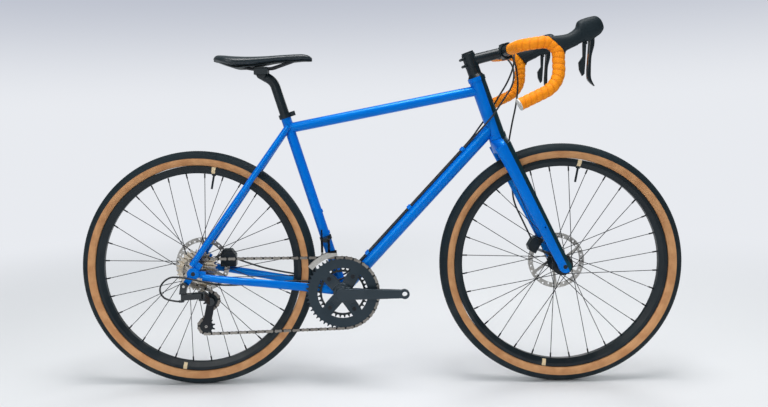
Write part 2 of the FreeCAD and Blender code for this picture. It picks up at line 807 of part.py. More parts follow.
def seatstay_shape(side):
    """One seatstay: a hollow tube up from the dropout, past the tyre, and in to the seat tube."""
    foot = at.rear_axle + Vector(-size.seatstay_foot_back, 0, size.seatstay_foot_up)
    top = at.seat_joint + at.seat_up * size.seatstay_rise
    way = (top - foot).normalize()
    knee = foot + way * (size.seatstay_knee_reach - size.seatstay_foot_up)
    points = [
        foot + LEFT * (side * size.seatstay_end_offset),
        knee + LEFT * (side * size.seatstay_knee_offset),
        top + LEFT * (side * size.seatstay_top_offset),
    ]
    outside = pipe(rounded_path(points, [size.seatstay_bend]), size.seatstay_radius)
    points[0] = points[0] + (points[1] - points[0]) * SEATSTAY_HOLLOW_SHARE
    return outside.cut(pipe(rounded_path(points, [size.seatstay_bend]), size.seatstay_radius - size.stay_wall))


def dropout_shape(side):
    """Dropout plate: an eye round the axle with arms to both stays."""
    inner = size.rear_hub_half
    eye = at.rear_axle + LEFT * (side * inner)
    out = LEFT * (side * size.dropout_thick)
    plate = round_bar(eye, LEFT * side, size.dropout_eye_radius, size.dropout_thick)
    stay_way = (at.bracket - at.rear_axle).normalize()
    up_way = (at.seat_joint - at.rear_axle).normalize()
    reach = size.dropout_eye_radius * 2
    for way, half in ((stay_way, size.stay_end_tall), (up_way, size.seatstay_radius)):
        across = way.cross(LEFT).normalize()
        tip = eye + way * reach
        corners = [eye + across * half, tip + across * half, tip - across * half, eye - across * half]
        plate = plate.fuse(slab(corners, out))
    bore = round_bar(eye - out, LEFT * side, size.axle_radius + size.fit_gap, size.dropout_thick * 3)
    return plate.cut(bore).removeSplitter()


def hanger_shape():
    """Derailleur hanger: a plate outside the right dropout, with the mounting eye behind and below."""
    outer = size.rear_hub_half + size.dropout_thick
    start = at.rear_axle - LEFT * outer
    out = LEFT * -size.hanger_thick
    eye = start + Vector(-size.hanger_back, 0, -size.hanger_fall)
    way = (eye - start).normalize()
    across = way.cross(LEFT).normalize() * size.hanger_eye_radius
    plate = slab([start + across, eye + across, eye - across, start - across], out)
    plate = plate.fuse(round_bar(eye, LEFT * -1, size.hanger_eye_radius, size.hanger_thick))
    plate = plate.fuse(round_bar(start, LEFT * -1, size.dropout_eye_radius, size.hanger_thick))
    hole = round_bar(start + LEFT * size.overrun, LEFT * -1, size.axle_radius + size.fit_gap,
                     size.hanger_thick + size.overrun * 2)
    pin_hole = round_bar(eye + LEFT * size.overrun, LEFT * -1, size.hanger_pin_radius + size.fit_gap,
                         size.hanger_thick + size.overrun * 2)
    return plate.cut(hole).cut(pin_hole).removeSplitter()


def build_rear_triangle():
    """Chainstays, seatstays, dropouts and the derailleur hanger."""
    dropouts = {side: dropout_shape(side) for side in SIDES}
    hanger = hanger_shape()
    shell = round_bar(at.bracket - LEFT * size.shell_width, LEFT, size.shell_radius, size.shell_width * 2)
    seat = round_bar(at.bracket, at.seat_up, seat_tube_radius, size.seat_tube_length)
    top = round_bar(at.seat_joint, at.head_joint - at.seat_joint, size.top_tube_radius, size.seat_tube_length)
    chainstays = [chainstay_shape(side).cut(shell).cut(dropouts[side]) for side in SIDES]
    seatstays = [seatstay_shape(side).cut(seat).cut(top).cut(dropouts[side]).cut(hanger) for side in SIDES]
    chainstays = [largest(stay) for stay in chainstays]
    seatstays = [largest(stay) for stay in seatstays]
    middles = [seatstays[0].common(seatstays[1])]
    if middles[0].Volume > 0:
        seatstays[1] = seatstays[1].cut(seatstays[0])
    keep("chainstays", shaped("chainstay_pair", Part.makeCompound(chainstays)))
    keep("seatstays", shaped("seatstay_pair", Part.makeCompound(seatstays)))
    pieces = list(dropouts.values()) + [hanger]
    keep("rear_dropouts", shaped("dropout_set", Part.makeCompound(pieces)))


def largest(shape):
    """The biggest solid of a cut, without the offcuts."""
    return max(shape.Solids, key=lambda solid: solid.Volume)


def build_seat_collar():
    """Split collar round the seat tube's top, with its bolt lug in front."""
    base = at.seat_top - at.seat_up * size.collar_height
    ring = round_bar(base, at.seat_up, seat_tube_radius + size.collar_wall, size.collar_height)
    lug_start = base + at.seat_ahead * seat_tube_radius
    half = LEFT * (size.collar_lug_width / 2)
    reach = at.seat_ahead * (size.collar_wall + size.collar_lug_length)
    lug = slab([lug_start - half, lug_start + half, lug_start + half + reach, lug_start - half + reach],
               at.seat_up * size.collar_height)
    tube = round_bar(at.bracket, at.seat_up, seat_tube_radius + size.fit_gap, size.seat_tube_length * 2)
    split = LEFT * (size.collar_slot / 2)
    slot = slab([base - split, base + split, base + split + reach * 3, base - split + reach * 3],
                at.seat_up * size.collar_height)
    bolt_line = base + at.seat_up * (size.collar_height / 2)
    bolt_line = bolt_line + at.seat_ahead * (seat_tube_radius + size.collar_wall + size.collar_lug_length / 2)
    bolt = round_bar(bolt_line - LEFT * size.collar_lug_width, LEFT, size.collar_bolt_radius,
                     size.collar_lug_width * 2)
    head = round_bar(bolt_line - half, LEFT * -1, size.collar_bolt_radius * 2, size.collar_wall)
    body = ring.fuse(lug).cut(tube).cut(slot).cut(bolt)
    screw = round_bar(bolt_line - half, LEFT, size.collar_bolt_radius - size.fit_gap, size.collar_lug_width)
    keep("seat_clamp", shaped("seat_collar", Part.makeCompound([largest(body), screw.fuse(head).removeSplitter()])))


def build_bearings():
    """Headset bearings in the head tube's ends and the two cups of the bottom bracket."""
    pieces = []
    race = size.head_tube_radius - size.head_tube_wall - size.fit_gap
    bore = size.steerer_radius + size.fit_gap
    for end, way in ((at.head_low, at.head_up), (at.head_top, at.head_up * -1)):
        ring = round_bar(end, way, race, size.bearing_height)
        pieces.append(ring.cut(round_bar(end, way, bore, size.bearing_height)))
    for side in SIDES:
        face = at.bracket + LEFT * (side * size.shell_width / 2)
        flange = round_bar(face, LEFT * side, size.cup_radius, size.cup_width)
        sleeve_radius = size.shell_radius - size.shell_wall - size.fit_gap
        sleeve = round_bar(face, LEFT * -side, sleeve_radius, size.cup_depth)
        hole = round_bar(face - LEFT * (side * size.shell_width), LEFT * side, size.spindle_radius + size.fit_gap,
                         size.shell_width * 2)
        pieces.append(flange.fuse(sleeve).cut(hole).removeSplitter())
    keep("frame_bearings", shaped("bearing_set", Part.makeCompound(pieces)))


def thru_axle(name, centre, half, outer):
    """Thru-axle with a low head on its left end."""
    reach = half + outer
    bar = cylinder(f"{name}_bar", "axle_radius", reach * 2, centre - LEFT * reach, LEFT)
    head = cylinder(f"{name}_head", "axle_head_radius", "axle_head_length", centre + LEFT * reach, LEFT)
    return fuse(f"{name}_whole", [bar, head])


def tyre_outline():
    """Tyre section: round casing, open between beads that sit inside the rim's edges."""
    half = size.tyre_width / 2
    middle = size.wheel_radius - half
    inner = half - size.tyre_wall
    edge = size.rim_edge_radius + size.clear_gap
    seat = size.bead_seat_radius + size.fit_gap
    bead = size.rim_half_width - size.rim_lip - size.fit_gap
    outer_y = math.sqrt(half ** 2 - (middle - edge) ** 2)
    inner_y = math.sqrt(inner ** 2 - (middle - edge) ** 2)
    foot = [(edge, outer_y), (edge, bead), (seat, bead), (seat, bead - size.tyre_bead), (edge, inner_y)]
    right = [Vector(radius, offset, 0) for radius, offset in foot]
    left = [Vector(radius, -offset, 0) for radius, offset in foot]
    edges = [Part.LineSegment(first, second) for first, second in zip(right, right[1:])]
    edges += [Part.LineSegment(first, second) for first, second in zip(left, left[1:])]
    edges.append(Part.Arc(right[0], Vector(size.wheel_radius, 0, 0), left[0]))
    edges.append(Part.Arc(right[-1], Vector(middle + inner, 0, 0), left[-1]))
    return edges


def rim_outline():
    """Rim section: two edges, a tyre well between them and a hollow box below."""
    edge = size.rim_edge_radius
    seat = size.bead_seat_radius
    bed = size.rim_bed_radius
    wide = size.rim_half_width
    inner = wide - size.rim_lip
    narrow = wide / 2
    shoulder = seat - size.rim_wall * 2
    well = seat - size.rim_well
    side = [(edge, inner), (edge, wide), (shoulder, wide), (bed, narrow)]
    floor = [(well, narrow), (seat, narrow + size.rim_wall), (seat, inner)]
    outer = side + [(radius, -offset) for radius, offset in reversed(side)]
    outer += [(radius, -offset) for radius, offset in reversed(floor)] + floor
    ceiling = well - size.rim_wall
    low = bed + size.rim_wall
    hollow = [(ceiling, wide - size.rim_wall * 2), (low, narrow - size.rim_wall / 2)]
    hollow += [(radius, -offset) for radius, offset in reversed(hollow)]
    return closed_lines(outer) + closed_lines(hollow)


def hub_outline(half, flange_left, flange_right, driven):
    """Hub section from its right cap to its left cap, with the rotor's seat outside the left flange."""
    bore = size.axle_radius + size.fit_gap
    end = half - size.clear_gap
    thick = size.flange_thick / 2
    rotor = half - size.rotor_inset
    seat = size.rotor_thick / 2 + size.fit_gap
    right = size.freewheel_axle_radius if driven else size.hub_cap_radius
    cap_start = end - size.hub_cap_length
    return closed_lines([
        (bore, -end), (size.hub_cap_radius, -end), (size.hub_cap_radius, -cap_start), (right, -cap_start),
        (right, -flange_right - thick), (size.flange_radius, -flange_right - thick),
        (size.flange_radius, -flange_right + thick), (size.hub_barrel_radius, -flange_right + thick),
        (size.hub_barrel_radius, flange_left - thick), (size.flange_radius, flange_left - thick),
        (size.flange_radius, flange_left + thick), (size.rotor_lock_radius, flange_left + thick),
        (size.rotor_lock_radius, rotor - seat), (size.rotor_carrier_radius, rotor - seat),
        (size.rotor_carrier_radius, rotor + seat), (size.rotor_lock_radius, rotor + seat),
        (size.rotor_lock_radius, rotor + seat + size.rotor_lock_length),
        (size.hub_cap_radius, rotor + seat + size.rotor_lock_length), (size.hub_cap_radius, end), (bore, end),
    ])


def wheel_point(axle, turn, radius, offset):
    """Point on a wheel at an angle from forward towards the top, a radius and a side offset."""
    return axle + Vector(radius * math.cos(turn), offset, radius * math.sin(turn))


def spoke_solid(start, end):
    """Spoke with its nipple: a stepped bar turned about its own line."""
    length = (end - start).Length
    step = length - size.nipple_length
    corners = [
        Vector(0, 0, 0), Vector(size.spoke_radius, 0, 0), Vector(size.spoke_radius, 0, step),
        Vector(size.nipple_radius, 0, step), Vector(size.nipple_radius, 0, length), Vector(0, 0, length),
    ]
    solid = Part.Face(wire_of(corners)).revolve(Vector(0, 0, 0), UP, 360)
    solid.Placement = along(start, end - start)
    return solid


def spoke_set(axle, flange_left, flange_right):
    """Crossed spokes: every other one leads or trails, outside or inside its flange."""
    per_side = SPOKE_COUNT // 2
    step = 2 * math.pi / per_side
    first = math.radians(90 - VALVE_LEAN) + step / 4
    swing = SPOKE_CROSSINGS * step
    reach = size.rim_bed_radius - size.nipple_gap
    hole = size.flange_radius - size.flange_hole_inset
    lean = size.flange_thick / 2 + size.spoke_radius + size.fit_gap
    solids = []
    for side, flange in ((1, flange_left), (-1, flange_right)):
        for number in range(per_side):
            turn = first + step * number + (step / 2 if side > 0 else 0)
            lead = 1 if number % 2 else -1
            stand = lean + size.spoke_slope_room if side * lead > 0 else lean
            start = wheel_point(axle, turn + lead * swing, hole, side * flange + lead * stand)
            solids.append(spoke_solid(start, wheel_point(axle, turn, reach, 0)))
    return solids


def rotor_shape(centre):
    """Brake rotor: a drilled track, swept arms and a splined ring in the middle."""
    thick = size.rotor_thick
    base = centre - LEFT * (thick / 2)
    track_inner = size.rotor_radius - size.rotor_track
    window = round_bar(base - LEFT * thick, LEFT, track_inner, thick * 3)
    window = window.cut(round_bar(base - LEFT * thick * 2, LEFT, size.rotor_ring_radius, thick * 5))
    for number in range(ROTOR_ARMS):
        turn = 2 * math.pi * number / ROTOR_ARMS
        root = wheel_point(base - LEFT * thick * 2, turn, size.rotor_carrier_radius, 0)
        tip = wheel_point(base - LEFT * thick * 2, turn + math.pi / ROTOR_ARMS, size.rotor_radius, 0)
        across = (tip - root).cross(LEFT).normalize() * (size.rotor_arm_width / 2)
        window = window.cut(slab([root + across, tip + across, tip - across, root - across], LEFT * thick * 5))
    shape = round_bar(base, LEFT, size.rotor_radius, thick).cut(window)
    shape = shape.cut(round_bar(base - LEFT * thick, LEFT, size.rotor_carrier_radius + size.fit_gap, thick * 3))
    vents = []
    for number in range(ROTOR_VENTS):
        turn = 2 * math.pi * number / ROTOR_VENTS
        radius = size.rotor_radius - size.rotor_track / 2 + size.rotor_vent_radius * (number % 3 - 1)
        vent = wheel_point(base - LEFT * thick, turn, radius, 0)
        vents.append(round_bar(vent, LEFT, size.rotor_vent_radius, thick * 3))
    return shape.cut(vents).removeSplitter()


def valve_shape(axle):
    """Valve stem and cap, pointing from the rim bed to the hub."""
    turn = math.radians(90 - VALVE_LEAN)
    start = wheel_point(axle, turn, size.rim_bed_radius - size.clear_gap, 0)
    inward = (axle - start).normalize()
    stem = round_bar(start, inward, size.valve_radius, size.valve_length)
    nut = round_bar(start, inward, size.valve_radius * 2, size.valve_radius)
    return stem.fuse(nut).removeSplitter()


def build_wheel(end, axle, half, flange_left, flange_right, driven):
    """One wheel: tyre, rim with valve, spokes, hub and rotor."""
    keep(f"{end}_tyre", turned(f"{end}_tyre_body", tyre_outline(), axle))
    rim = turned(f"{end}_rim_body", rim_outline(), axle)
    valve = shaped(f"{end}_valve", valve_shape(axle))
    keep(f"{end}_rim", group(f"{end}_rim_set", [rim, valve]))
    keep(f"{end}_spokes", shaped(f"{end}_spoke_set", Part.makeCompound(spoke_set(axle, flange_left, flange_right))))
    outline = hub_outline(half, flange_left, flange_right, driven)
    keep(f"{end}_hub", turned(f"{end}_hub_body", outline, axle))
    rotor_centre = axle + LEFT * (half - size.rotor_inset)
    keep(f"{end}_rotor", shaped(f"{end}_rotor_disc", rotor_shape(rotor_centre)))


def blade_line():
    """Start and end of a fork blade's middle line, seen from the side."""
    start = at.crown - at.head_up * (size.crown_depth / 2) - at.head_ahead * size.blade_setback
    return start, at.front_axle


def blade_section(share, swell):
    """Middle line point, side offset and half sizes of a fork blade at a share of its run."""
    start, end = blade_line()
    end_offset = size.front_hub_half + size.fork_end_thick / 2
    offset = end_offset + (size.blade_top_offset - end_offset) * swell
    long_half = size.blade_end_half_length
    long_half += (size.blade_top_half_length - size.blade_end_half_length) * swell
    wide_half = size.blade_end_half_width
    wide_half += (size.blade_top_half_width - size.blade_end_half_width) * swell
    return start + (end - start) * share, offset, long_half, wide_half


def blade_shape(side):
    """One fork blade with the round fork end at its foot."""
    start, end = blade_line()
    across = (end - start).normalize().cross(LEFT).normalize()
    sections = []
    for share, swell in zip(BLADE_RUN_SHARES, BLADE_SWELL_SHARES):
        centre, offset, long_half, wide_half = blade_section(share, swell)
        sections.append(oval_wire(centre + LEFT * (side * offset), across, LEFT, long_half, wide_half))
    blade = Part.makeLoft(sections, True, False)
    face = at.front_axle + LEFT * (side * size.front_hub_half)
    return blade.fuse(round_bar(face, LEFT * side, size.fork_end_radius, size.fork_end_thick))


def eyelet_face(side):
    """Outer face of the threaded eyelet on a fork blade."""
    start, end = blade_line()
    share = (start.z - end.z - size.eyelet_up) / (start.z - end.z)
    low, high = BLADE_RUN_SHARES[1], BLADE_RUN_SHARES[2]
    swell_low, swell_high = BLADE_SWELL_SHARES[1], BLADE_SWELL_SHARES[2]
    swell = swell_low + (swell_high - swell_low) * (share - low) / (high - low)
    centre, offset, long_half, wide_half = blade_section(share, swell)
    return centre + LEFT * (side * (offset + wide_half + size.eyelet_proud))


def build_fork():
    """Fork: crown with steerer, and two blades joined to it below, each with its end and an eyelet."""
    crown_sections = []
    for depth, half in ((0, size.head_ring_radius), (size.crown_neck, size.crown_neck_half_width),
                        (size.crown_depth, size.crown_half_width)):
        centre = at.crown - at.head_up * depth
        long_half = max(half, size.crown_half_length)
        crown_sections.append(oval_wire(centre, LEFT, at.head_ahead, long_half, size.crown_half_length))
    crown = Part.makeLoft(crown_sections, True, False)
    top = at.stem_low + at.head_up * size.stem_height
    root = at.crown - at.head_up * (size.crown_depth / 2)
    steerer = round_bar(root, at.head_up, size.steerer_radius, (top - root).Length)
    bosses = []
    holes = []
    for side in SIDES:
        face = eyelet_face(side)
        bosses.append(round_bar(face, LEFT * -side, size.boss_radius, size.eyelet_depth))
        holes.append(round_bar(face, LEFT * -side, size.small_thread_radius, size.eyelet_depth - size.eyelet_proud))
    body = crown.multiFuse([steerer, blade_shape(-1), blade_shape(1)] + bosses)
    reach = size.front_hub_half + size.fork_end_thick + size.overrun
    axle_hole = round_bar(at.front_axle - LEFT * reach, LEFT, size.axle_radius + size.fit_gap, reach * 2)
    steerer_hole = round_bar(at.crown, at.head_up, size.steerer_radius - size.steerer_wall, (top - at.crown).Length)
    body = body.cut(Part.makeCompound(holes + [axle_hole, steerer_hole]))
    seam = half_space(at.crown - at.head_up * (size.crown_depth + size.crown_socket), at.head_up * -1,
                      size.axle_to_crown)
    pieces = [largest(body.cut(seam))] + body.common(seam).Solids
    keep("fork", shaped("fork_whole", Part.makeCompound(pieces)))


def ring_solid(base, way, outer, inner, height):
    """Plain ring along a direction."""
    return round_bar(base, way, outer, height).cut(round_bar(base, way, inner, height))


def build_headset_stack():
    """Headset cover, spacers and the cap on top of the stem."""
    bore = size.steerer_radius + size.fit_gap
    base = at.head_top + at.head_up * size.clear_gap
    cover = Part.makeCone(size.cover_radius, size.spacer_radius, size.cover_height, base, at.head_up)
    cover = cover.cut(round_bar(base, at.head_up, bore, size.cover_height))
    pieces = [cover]
    for number in range(2):
        half = size.spacer_height / 2
        start = base + at.head_up * (size.cover_height + half * number)
        pieces.append(ring_solid(start, at.head_up, size.spacer_radius, bore, half))
    cap = at.stem_low + at.head_up * size.stem_height
    pieces.append(round_bar(cap, at.head_up, size.cap_radius, size.cap_height))
    keep("headset_spacers", shaped("headset_stack", Part.makeCompound(pieces)))


def half_space(centre, way, reach):
    """Large block on one side of a plane square to the way."""
    across = way.cross(LEFT).normalize() * reach
    wide = LEFT * reach
    corners = [centre + across + wide, centre - across + wide, centre - across - wide, centre + across - wide]
    return slab(corners, way * reach)


def build_stem():
    """Stem body, its separate faceplate and their bolts."""
    way = at.stem_way
    up = way.cross(LEFT).normalize() * -1
    bore = size.steerer_radius + size.fit_gap
    clamp = round_bar(at.stem_low, at.head_up, size.stem_clamp_radius, size.stem_height)
    arm = Part.makeCone(size.stem_body_radius, size.stem_tip_radius, size.stem_length, at.stem_root, way)
    half_width = LEFT * (size.stem_face_width / 2)
    face = round_bar(at.bar - half_width, LEFT, size.stem_face_radius, size.stem_face_width)
    bar_bore = round_bar(at.bar - half_width, LEFT, size.bar_clamp_radius + size.fit_gap, size.stem_face_width)
    steerer_bore = round_bar(at.stem_low, at.head_up, bore, size.stem_height)
    bolt_holes = []
    head_rooms = []
    bolts = []
    rear_way = at.head_ahead * -1
    for side in SIDES:
        for level in SIDES:
            across = LEFT * (side * size.stem_bolt_spread) + up * (level * size.stem_bolt_rise)
            seat = at.bar + across + way * size.stem_pad_depth
            bolts.append(stem_bolt(seat, way * -1, size.stem_pad_depth * 2))
            bolt_holes.append(round_bar(seat, way * -1, size.stem_bolt_radius, size.stem_pad_depth * 2))
            head_rooms.append(round_bar(seat, way, size.stem_bolt_head_radius + size.fit_gap, size.stem_face_radius))
        level_place = at.stem_root + at.head_up * (side * size.stem_height / 4)
        seat = level_place + rear_way * (size.stem_clamp_radius + size.stem_bolt_head) + LEFT * size.stem_bolt_spread
        lug = round_bar(seat, LEFT * -1, size.stem_bolt_head_radius, size.stem_bolt_spread * 2)
        clamp = clamp.fuse(lug)
        clamp = clamp.fuse(lug_web(seat, rear_way))
        bolts.append(stem_bolt(seat, LEFT * -1, size.stem_bolt_spread))
        bolt_holes.append(round_bar(seat, LEFT * -1, size.stem_bolt_radius, size.stem_bolt_spread))
    split = LEFT * (size.stem_slot / 2)
    slot_reach = rear_way * (size.stem_clamp_radius * 2)
    slot = slab([at.stem_low - split, at.stem_low + split, at.stem_low + split + slot_reach,
                 at.stem_low - split + slot_reach], at.head_up * size.stem_height)
    front = half_space(at.bar + way * size.stem_face_split, way, size.stem_length)
    behind = half_space(at.bar - way * size.stem_face_split, way, size.stem_length)
    pads = [bolt_pad(at.bar, up, level, way) for level in SIDES]
    holes = Part.makeCompound(bolt_holes + head_rooms)
    body = clamp.multiFuse([arm, face] + pads).cut(bar_bore).cut(steerer_bore).cut(slot).cut(behind).cut(holes)
    plate = face.multiFuse(pads).cut(bar_bore).common(front).cut(holes)
    keep("stem", shaped("stem_body", largest(body)))
    keep("stem_faceplate", shaped("stem_front", largest(plate)))
    keep("stem_bolts", shaped("stem_bolt_set", Part.makeCompound(bolts)))


def lug_web(seat, rear_way):
    """Metal between a clamp bolt's lug and the clamp ring."""
    half = at.head_up * size.stem_bolt_head_radius
    inward = rear_way * -(size.stem_bolt_head + size.stem_bolt_head_radius)
    return slab([seat + half, seat - half, seat - half + inward, seat + half + inward],
                LEFT * (-size.stem_bolt_spread * 2))


def bolt_pad(centre, up, level, way):
    """Flat ear above or below the bar clamp that takes the faceplate bolts."""
    half_wide = LEFT * (size.stem_face_width / 2)
    middle = centre + up * (level * size.stem_bolt_rise)
    tall = up * size.stem_bolt_head_radius
    back = way * size.stem_pad_depth
    return slab([middle - half_wide + tall - back, middle + half_wide + tall - back,
                 middle + half_wide - tall - back, middle - half_wide - tall - back], back * 2)


def stem_bolt(seat, way, length):
    """Bolt with its head on the seat and its shank along the way."""
    shank = round_bar(seat, way, size.stem_bolt_radius - size.fit_gap, length)
    head = round_bar(seat, way * -1, size.stem_bolt_head_radius, size.stem_bolt_head)
    return shank.fuse(head).removeSplitter()


def bar_points(side):
    """Corner points of one half of the drop bar, from its taper to its end."""
    wide = side * size.bar_half_width
    flare = side * size.bar_flare
    hook = wide + flare * size.bar_hook_fall / size.bar_drop
    return [
        at.bar + LEFT * (side * size.bar_taper_end),
        at.bar + LEFT * wide,
        at.bar + Vector(size.bar_reach, wide, size.bar_ramp_rise),
        at.bar + Vector(size.bar_reach, hook, -size.bar_hook_fall),
        at.bar + Vector(-size.bar_tail_back, wide + flare, -size.bar_drop),
    ]


def bar_path(side, start=None):
    """Smooth path of one half of the bar, optionally from a later start on its straight top."""
    points = bar_points(side)
    if start is not None:
        points[0] = at.bar + LEFT * (side * start)
    bends = [size.bar_corner_bend, size.bar_hook_bend, size.bar_drop_bend]
    return rounded_path(points, bends), points


def build_handlebar():
    """Drop bar with a thick clamp zone, its wound tape and the end plugs."""
    zone = [
        (0, size.bar_clamp_radius), (size.bar_clamp_half, size.bar_clamp_radius),
        (size.bar_taper_end, size.bar_radius),
    ]
    corners = [Vector(0, -offset, radius) for offset, radius in reversed(zone[1:])]
    corners += [Vector(0, offset, radius) for offset, radius in zone[1:]]
    corners += [Vector(0, size.bar_taper_end, 0), Vector(0, -size.bar_taper_end, 0)]
    middle = Part.Face(wire_of(corners)).revolve(Vector(0, 0, 0), LEFT, 360)
    middle.translate(at.bar)
    inner = size.bar_radius - size.bar_wall
    halves = []
    hollows = [round_bar(at.bar - LEFT * size.bar_taper_end, LEFT, inner, size.bar_taper_end * 2)]
    tapes = []
    plugs = []
    for side in SIDES:
        path, points = bar_path(side)
        halves.append(pipe(path, size.bar_radius))
        hollows.append(pipe(path, inner))
        tape_path, points = bar_path(side, size.tape_start)
        tape = pipe(tape_path, size.tape_radius).cut(pipe(tape_path, size.bar_radius + size.fit_gap))
        tapes.append(largest(tape))
        end_way = (points[-1] - points[-2]).normalize()
        stopper = round_bar(points[-1], end_way * -1, inner - size.fit_gap, size.plug_length)
        button = round_bar(points[-1], end_way, size.tape_radius, size.plug_flange)
        plugs.append(stopper.fuse(button).removeSplitter())
    bar = middle.multiFuse(halves)
    for hollow in hollows:
        bar = bar.cut(hollow)
    keep("handlebar", shaped("drop_bar", largest(bar)))
    keep("bar_tape", shaped("bar_tape_pair", Part.makeCompound(tapes)))
    keep("bar_end_plugs", shaped("bar_plug_pair", Part.makeCompound(plugs)))


def lever_pivot(side):
    """Pivot of a brake lever on its middle plane."""
    return at.bar + Vector(size.lever_pivot_ahead, side * size.bar_half_width, size.lever_pivot_rise)


def pulled_corners():
    """Rear corners of the paddle, from the lever's pivot, with the lever pulled and room round them."""
    pull = FreeCAD.Rotation(LEFT, LEVER_PULL)
    room = (UP - AHEAD) * (size.lever_side_gap + size.paddle_hinge_radius)
    corners = []
    for ahead, fall in PADDLE_SHARES[1:3]:
        rest = Vector(ahead * size.paddle_depth - size.paddle_behind, 0, fall * size.paddle_length - size.paddle_below)
        corners.append(pull.multVec(rest) + room)
    return corners


def hood_shape(side):
    """Rubber lever hood with its horn, hollowed for the bar and slotted for the lever."""
    start = at.bar + Vector(size.hood_start_ahead, side * size.bar_half_width, -size.hood_start_drop)
    sections = []
    rows = zip(HOOD_SPINE_SHARES, HOOD_TALL_SHARES, HOOD_WIDE_SHARES, HOOD_TURNS)
    for (ahead_share, rise_share), tall_share, wide_share, turn in rows:
        centre = start + AHEAD * (ahead_share * size.hood_length) + UP * (rise_share * size.hood_height)
        lean = math.radians(turn)
        square_up = Vector(-math.sin(lean), 0, math.cos(lean))
        tall = tall_share * size.hood_height / 2
        wide = wide_share * size.hood_width / 2
        if wide > tall:
            wide = tall
        sections.append(oval_wire(centre, square_up, LEFT, tall, wide))
    body = Part.makeLoft(sections, True, False)
    tape_path, points = bar_path(side, size.tape_start)
    body = body.cut(pipe(tape_path, size.tape_radius + size.fit_gap))
    body = largest(body)
    pivot = lever_pivot(side)
    half = size.lever_width / 2 + size.lever_side_gap
    room = size.lever_eye_radius + size.lever_side_gap
    slot = round_bar(pivot - LEFT * half, LEFT, room, half * 2)
    front = AHEAD * (size.lever_eye_radius * 2)
    fall = UP * (size.hood_height / 2)
    base = pivot - LEFT * half
    pulled = [base + corner for corner in pulled_corners()]
    slot = slot.fuse(slab([base - AHEAD * room] + pulled + [pulled[-1] - fall, base + front - fall,
                          base + AHEAD * room], LEFT * (half * 2)))
    pin = round_bar(pivot - LEFT * (half + size.pivot_pin_radius), LEFT, size.pivot_pin_radius,
                    (half + size.pivot_pin_radius) * 2)
    return largest(body.cut(slot).fuse(pin).removeSplitter())


def smooth_outline(points):
    """Curve through the points as one edge."""
    curve = Part.BSplineCurve()
    curve.interpolate(points)
    return curve.toShape()


def lever_shape(side):
    """Brake lever blade: an eye on the pivot and a curved blade down to a flared tip."""
    pivot = lever_pivot(side)
    half = LEFT * (size.lever_width / 2)

    def place(shares):
        return [pivot - half + Vector(ahead * size.lever_depth, 0, fall * size.lever_length)
                for ahead, fall in shares]
    front = place(LEVER_FRONT_SHARES)
    rear = place(LEVER_REAR_SHARES)
    edges = [
        smooth_outline(front), Part.LineSegment(front[-1], rear[0]).toShape(), smooth_outline(rear),
        Part.LineSegment(rear[-1], front[0]).toShape(),
    ]
    blade = Part.Face(Part.Wire(edges)).extrude(half * 2)
    eye = round_bar(pivot - half, LEFT, size.lever_eye_radius, size.lever_width)
    bore = round_bar(pivot - half * 2, LEFT, size.pivot_pin_radius + size.fit_gap, size.lever_width * 2)
    return largest(blade.fuse(eye).cut(bore).removeSplitter())


def paddle_shape(side):
    """Shift paddle behind the brake lever, on a short barrel along its hinge."""
    root = lever_pivot(side) - AHEAD * size.paddle_behind - UP * size.paddle_below
    half = LEFT * (size.paddle_width / 2)
    corners = [root - half + Vector(ahead * size.paddle_depth, 0, fall * size.paddle_length)
               for ahead, fall in PADDLE_SHARES]
    hinge = root - AHEAD * size.paddle_hinge_behind - UP * size.paddle_hinge_below
    barrel = round_bar(hinge + AHEAD * size.paddle_hinge_ahead, AHEAD * -1, size.paddle_hinge_radius,
                       size.paddle_hinge_length)
    return slab(corners, half * 2).fuse(barrel).removeSplitter()


def build_levers():
    """Hoods, brake levers and shift paddles on both sides."""
    keep("lever_hoods", shaped("hood_pair", Part.makeCompound([hood_shape(side) for side in SIDES])))
    for side, word in ((1, "left"), (-1, "right")):
        keep(f"brake_lever_{word}", shaped(f"lever_{word}", lever_shape(side)))
        keep(f"shift_paddle_{word}", shaped(f"paddle_{word}", paddle_shape(side)))


def sprocket_wire(centre, teeth, phase):
    """Toothed outline: a round gullet for each roller and a tapered tooth between two gullets."""
    pitch_radius = size.chain_pitch / (2 * math.sin(math.pi / teeth))
    step = 2 * math.pi / teeth
    tip_radius = pitch_radius + size.tooth_height
    tip_half = size.tooth_tip / 2 / tip_radius
    edges = []
    for number in range(teeth):
        turn = phase + step * number
        roller = wheel_point(Vector(0, 0, 0), turn, pitch_radius, 0)
        sideways = Vector(-math.sin(turn), 0, math.cos(turn)) * size.gullet_radius
        enter = roller - sideways
        leave = roller + sideways
        bottom = wheel_point(Vector(0, 0, 0), turn, pitch_radius - size.gullet_radius, 0)
        tip_start = wheel_point(Vector(0, 0, 0), turn + step / 2 - tip_half, tip_radius, 0)
        tip_end = wheel_point(Vector(0, 0, 0), turn + step / 2 + tip_half, tip_radius, 0)
        following = turn + step
        next_roller = wheel_point(Vector(0, 0, 0), following, pitch_radius, 0)
        next_side = Vector(-math.sin(following), 0, math.cos(following)) * size.gullet_radius
        edges.append(Part.Arc(enter, bottom, leave).toShape())
        edges.append(Part.LineSegment(leave, tip_start).toShape())
        edges.append(Part.LineSegment(tip_start, tip_end).toShape())
        edges.append(Part.LineSegment(tip_end, next_roller - next_side).toShape())
    wire = Part.Wire(edges)
    wire.translate(centre)
    return wire


def sprocket(centre, teeth, phase, thick, bore):
    """Toothed plate with a round hole, its middle plane on the centre."""
    base = centre - LEFT * (thick / 2)
    face = Part.Face([sprocket_wire(base, teeth, phase), circle_wire(base, LEFT, bore)])
    return face.extrude(LEFT * thick)


def pitch_radius_of(teeth):
    """Radius of the circle on which a sprocket's rollers sit."""
    return size.chain_pitch / (2 * math.sin(math.pi / teeth))


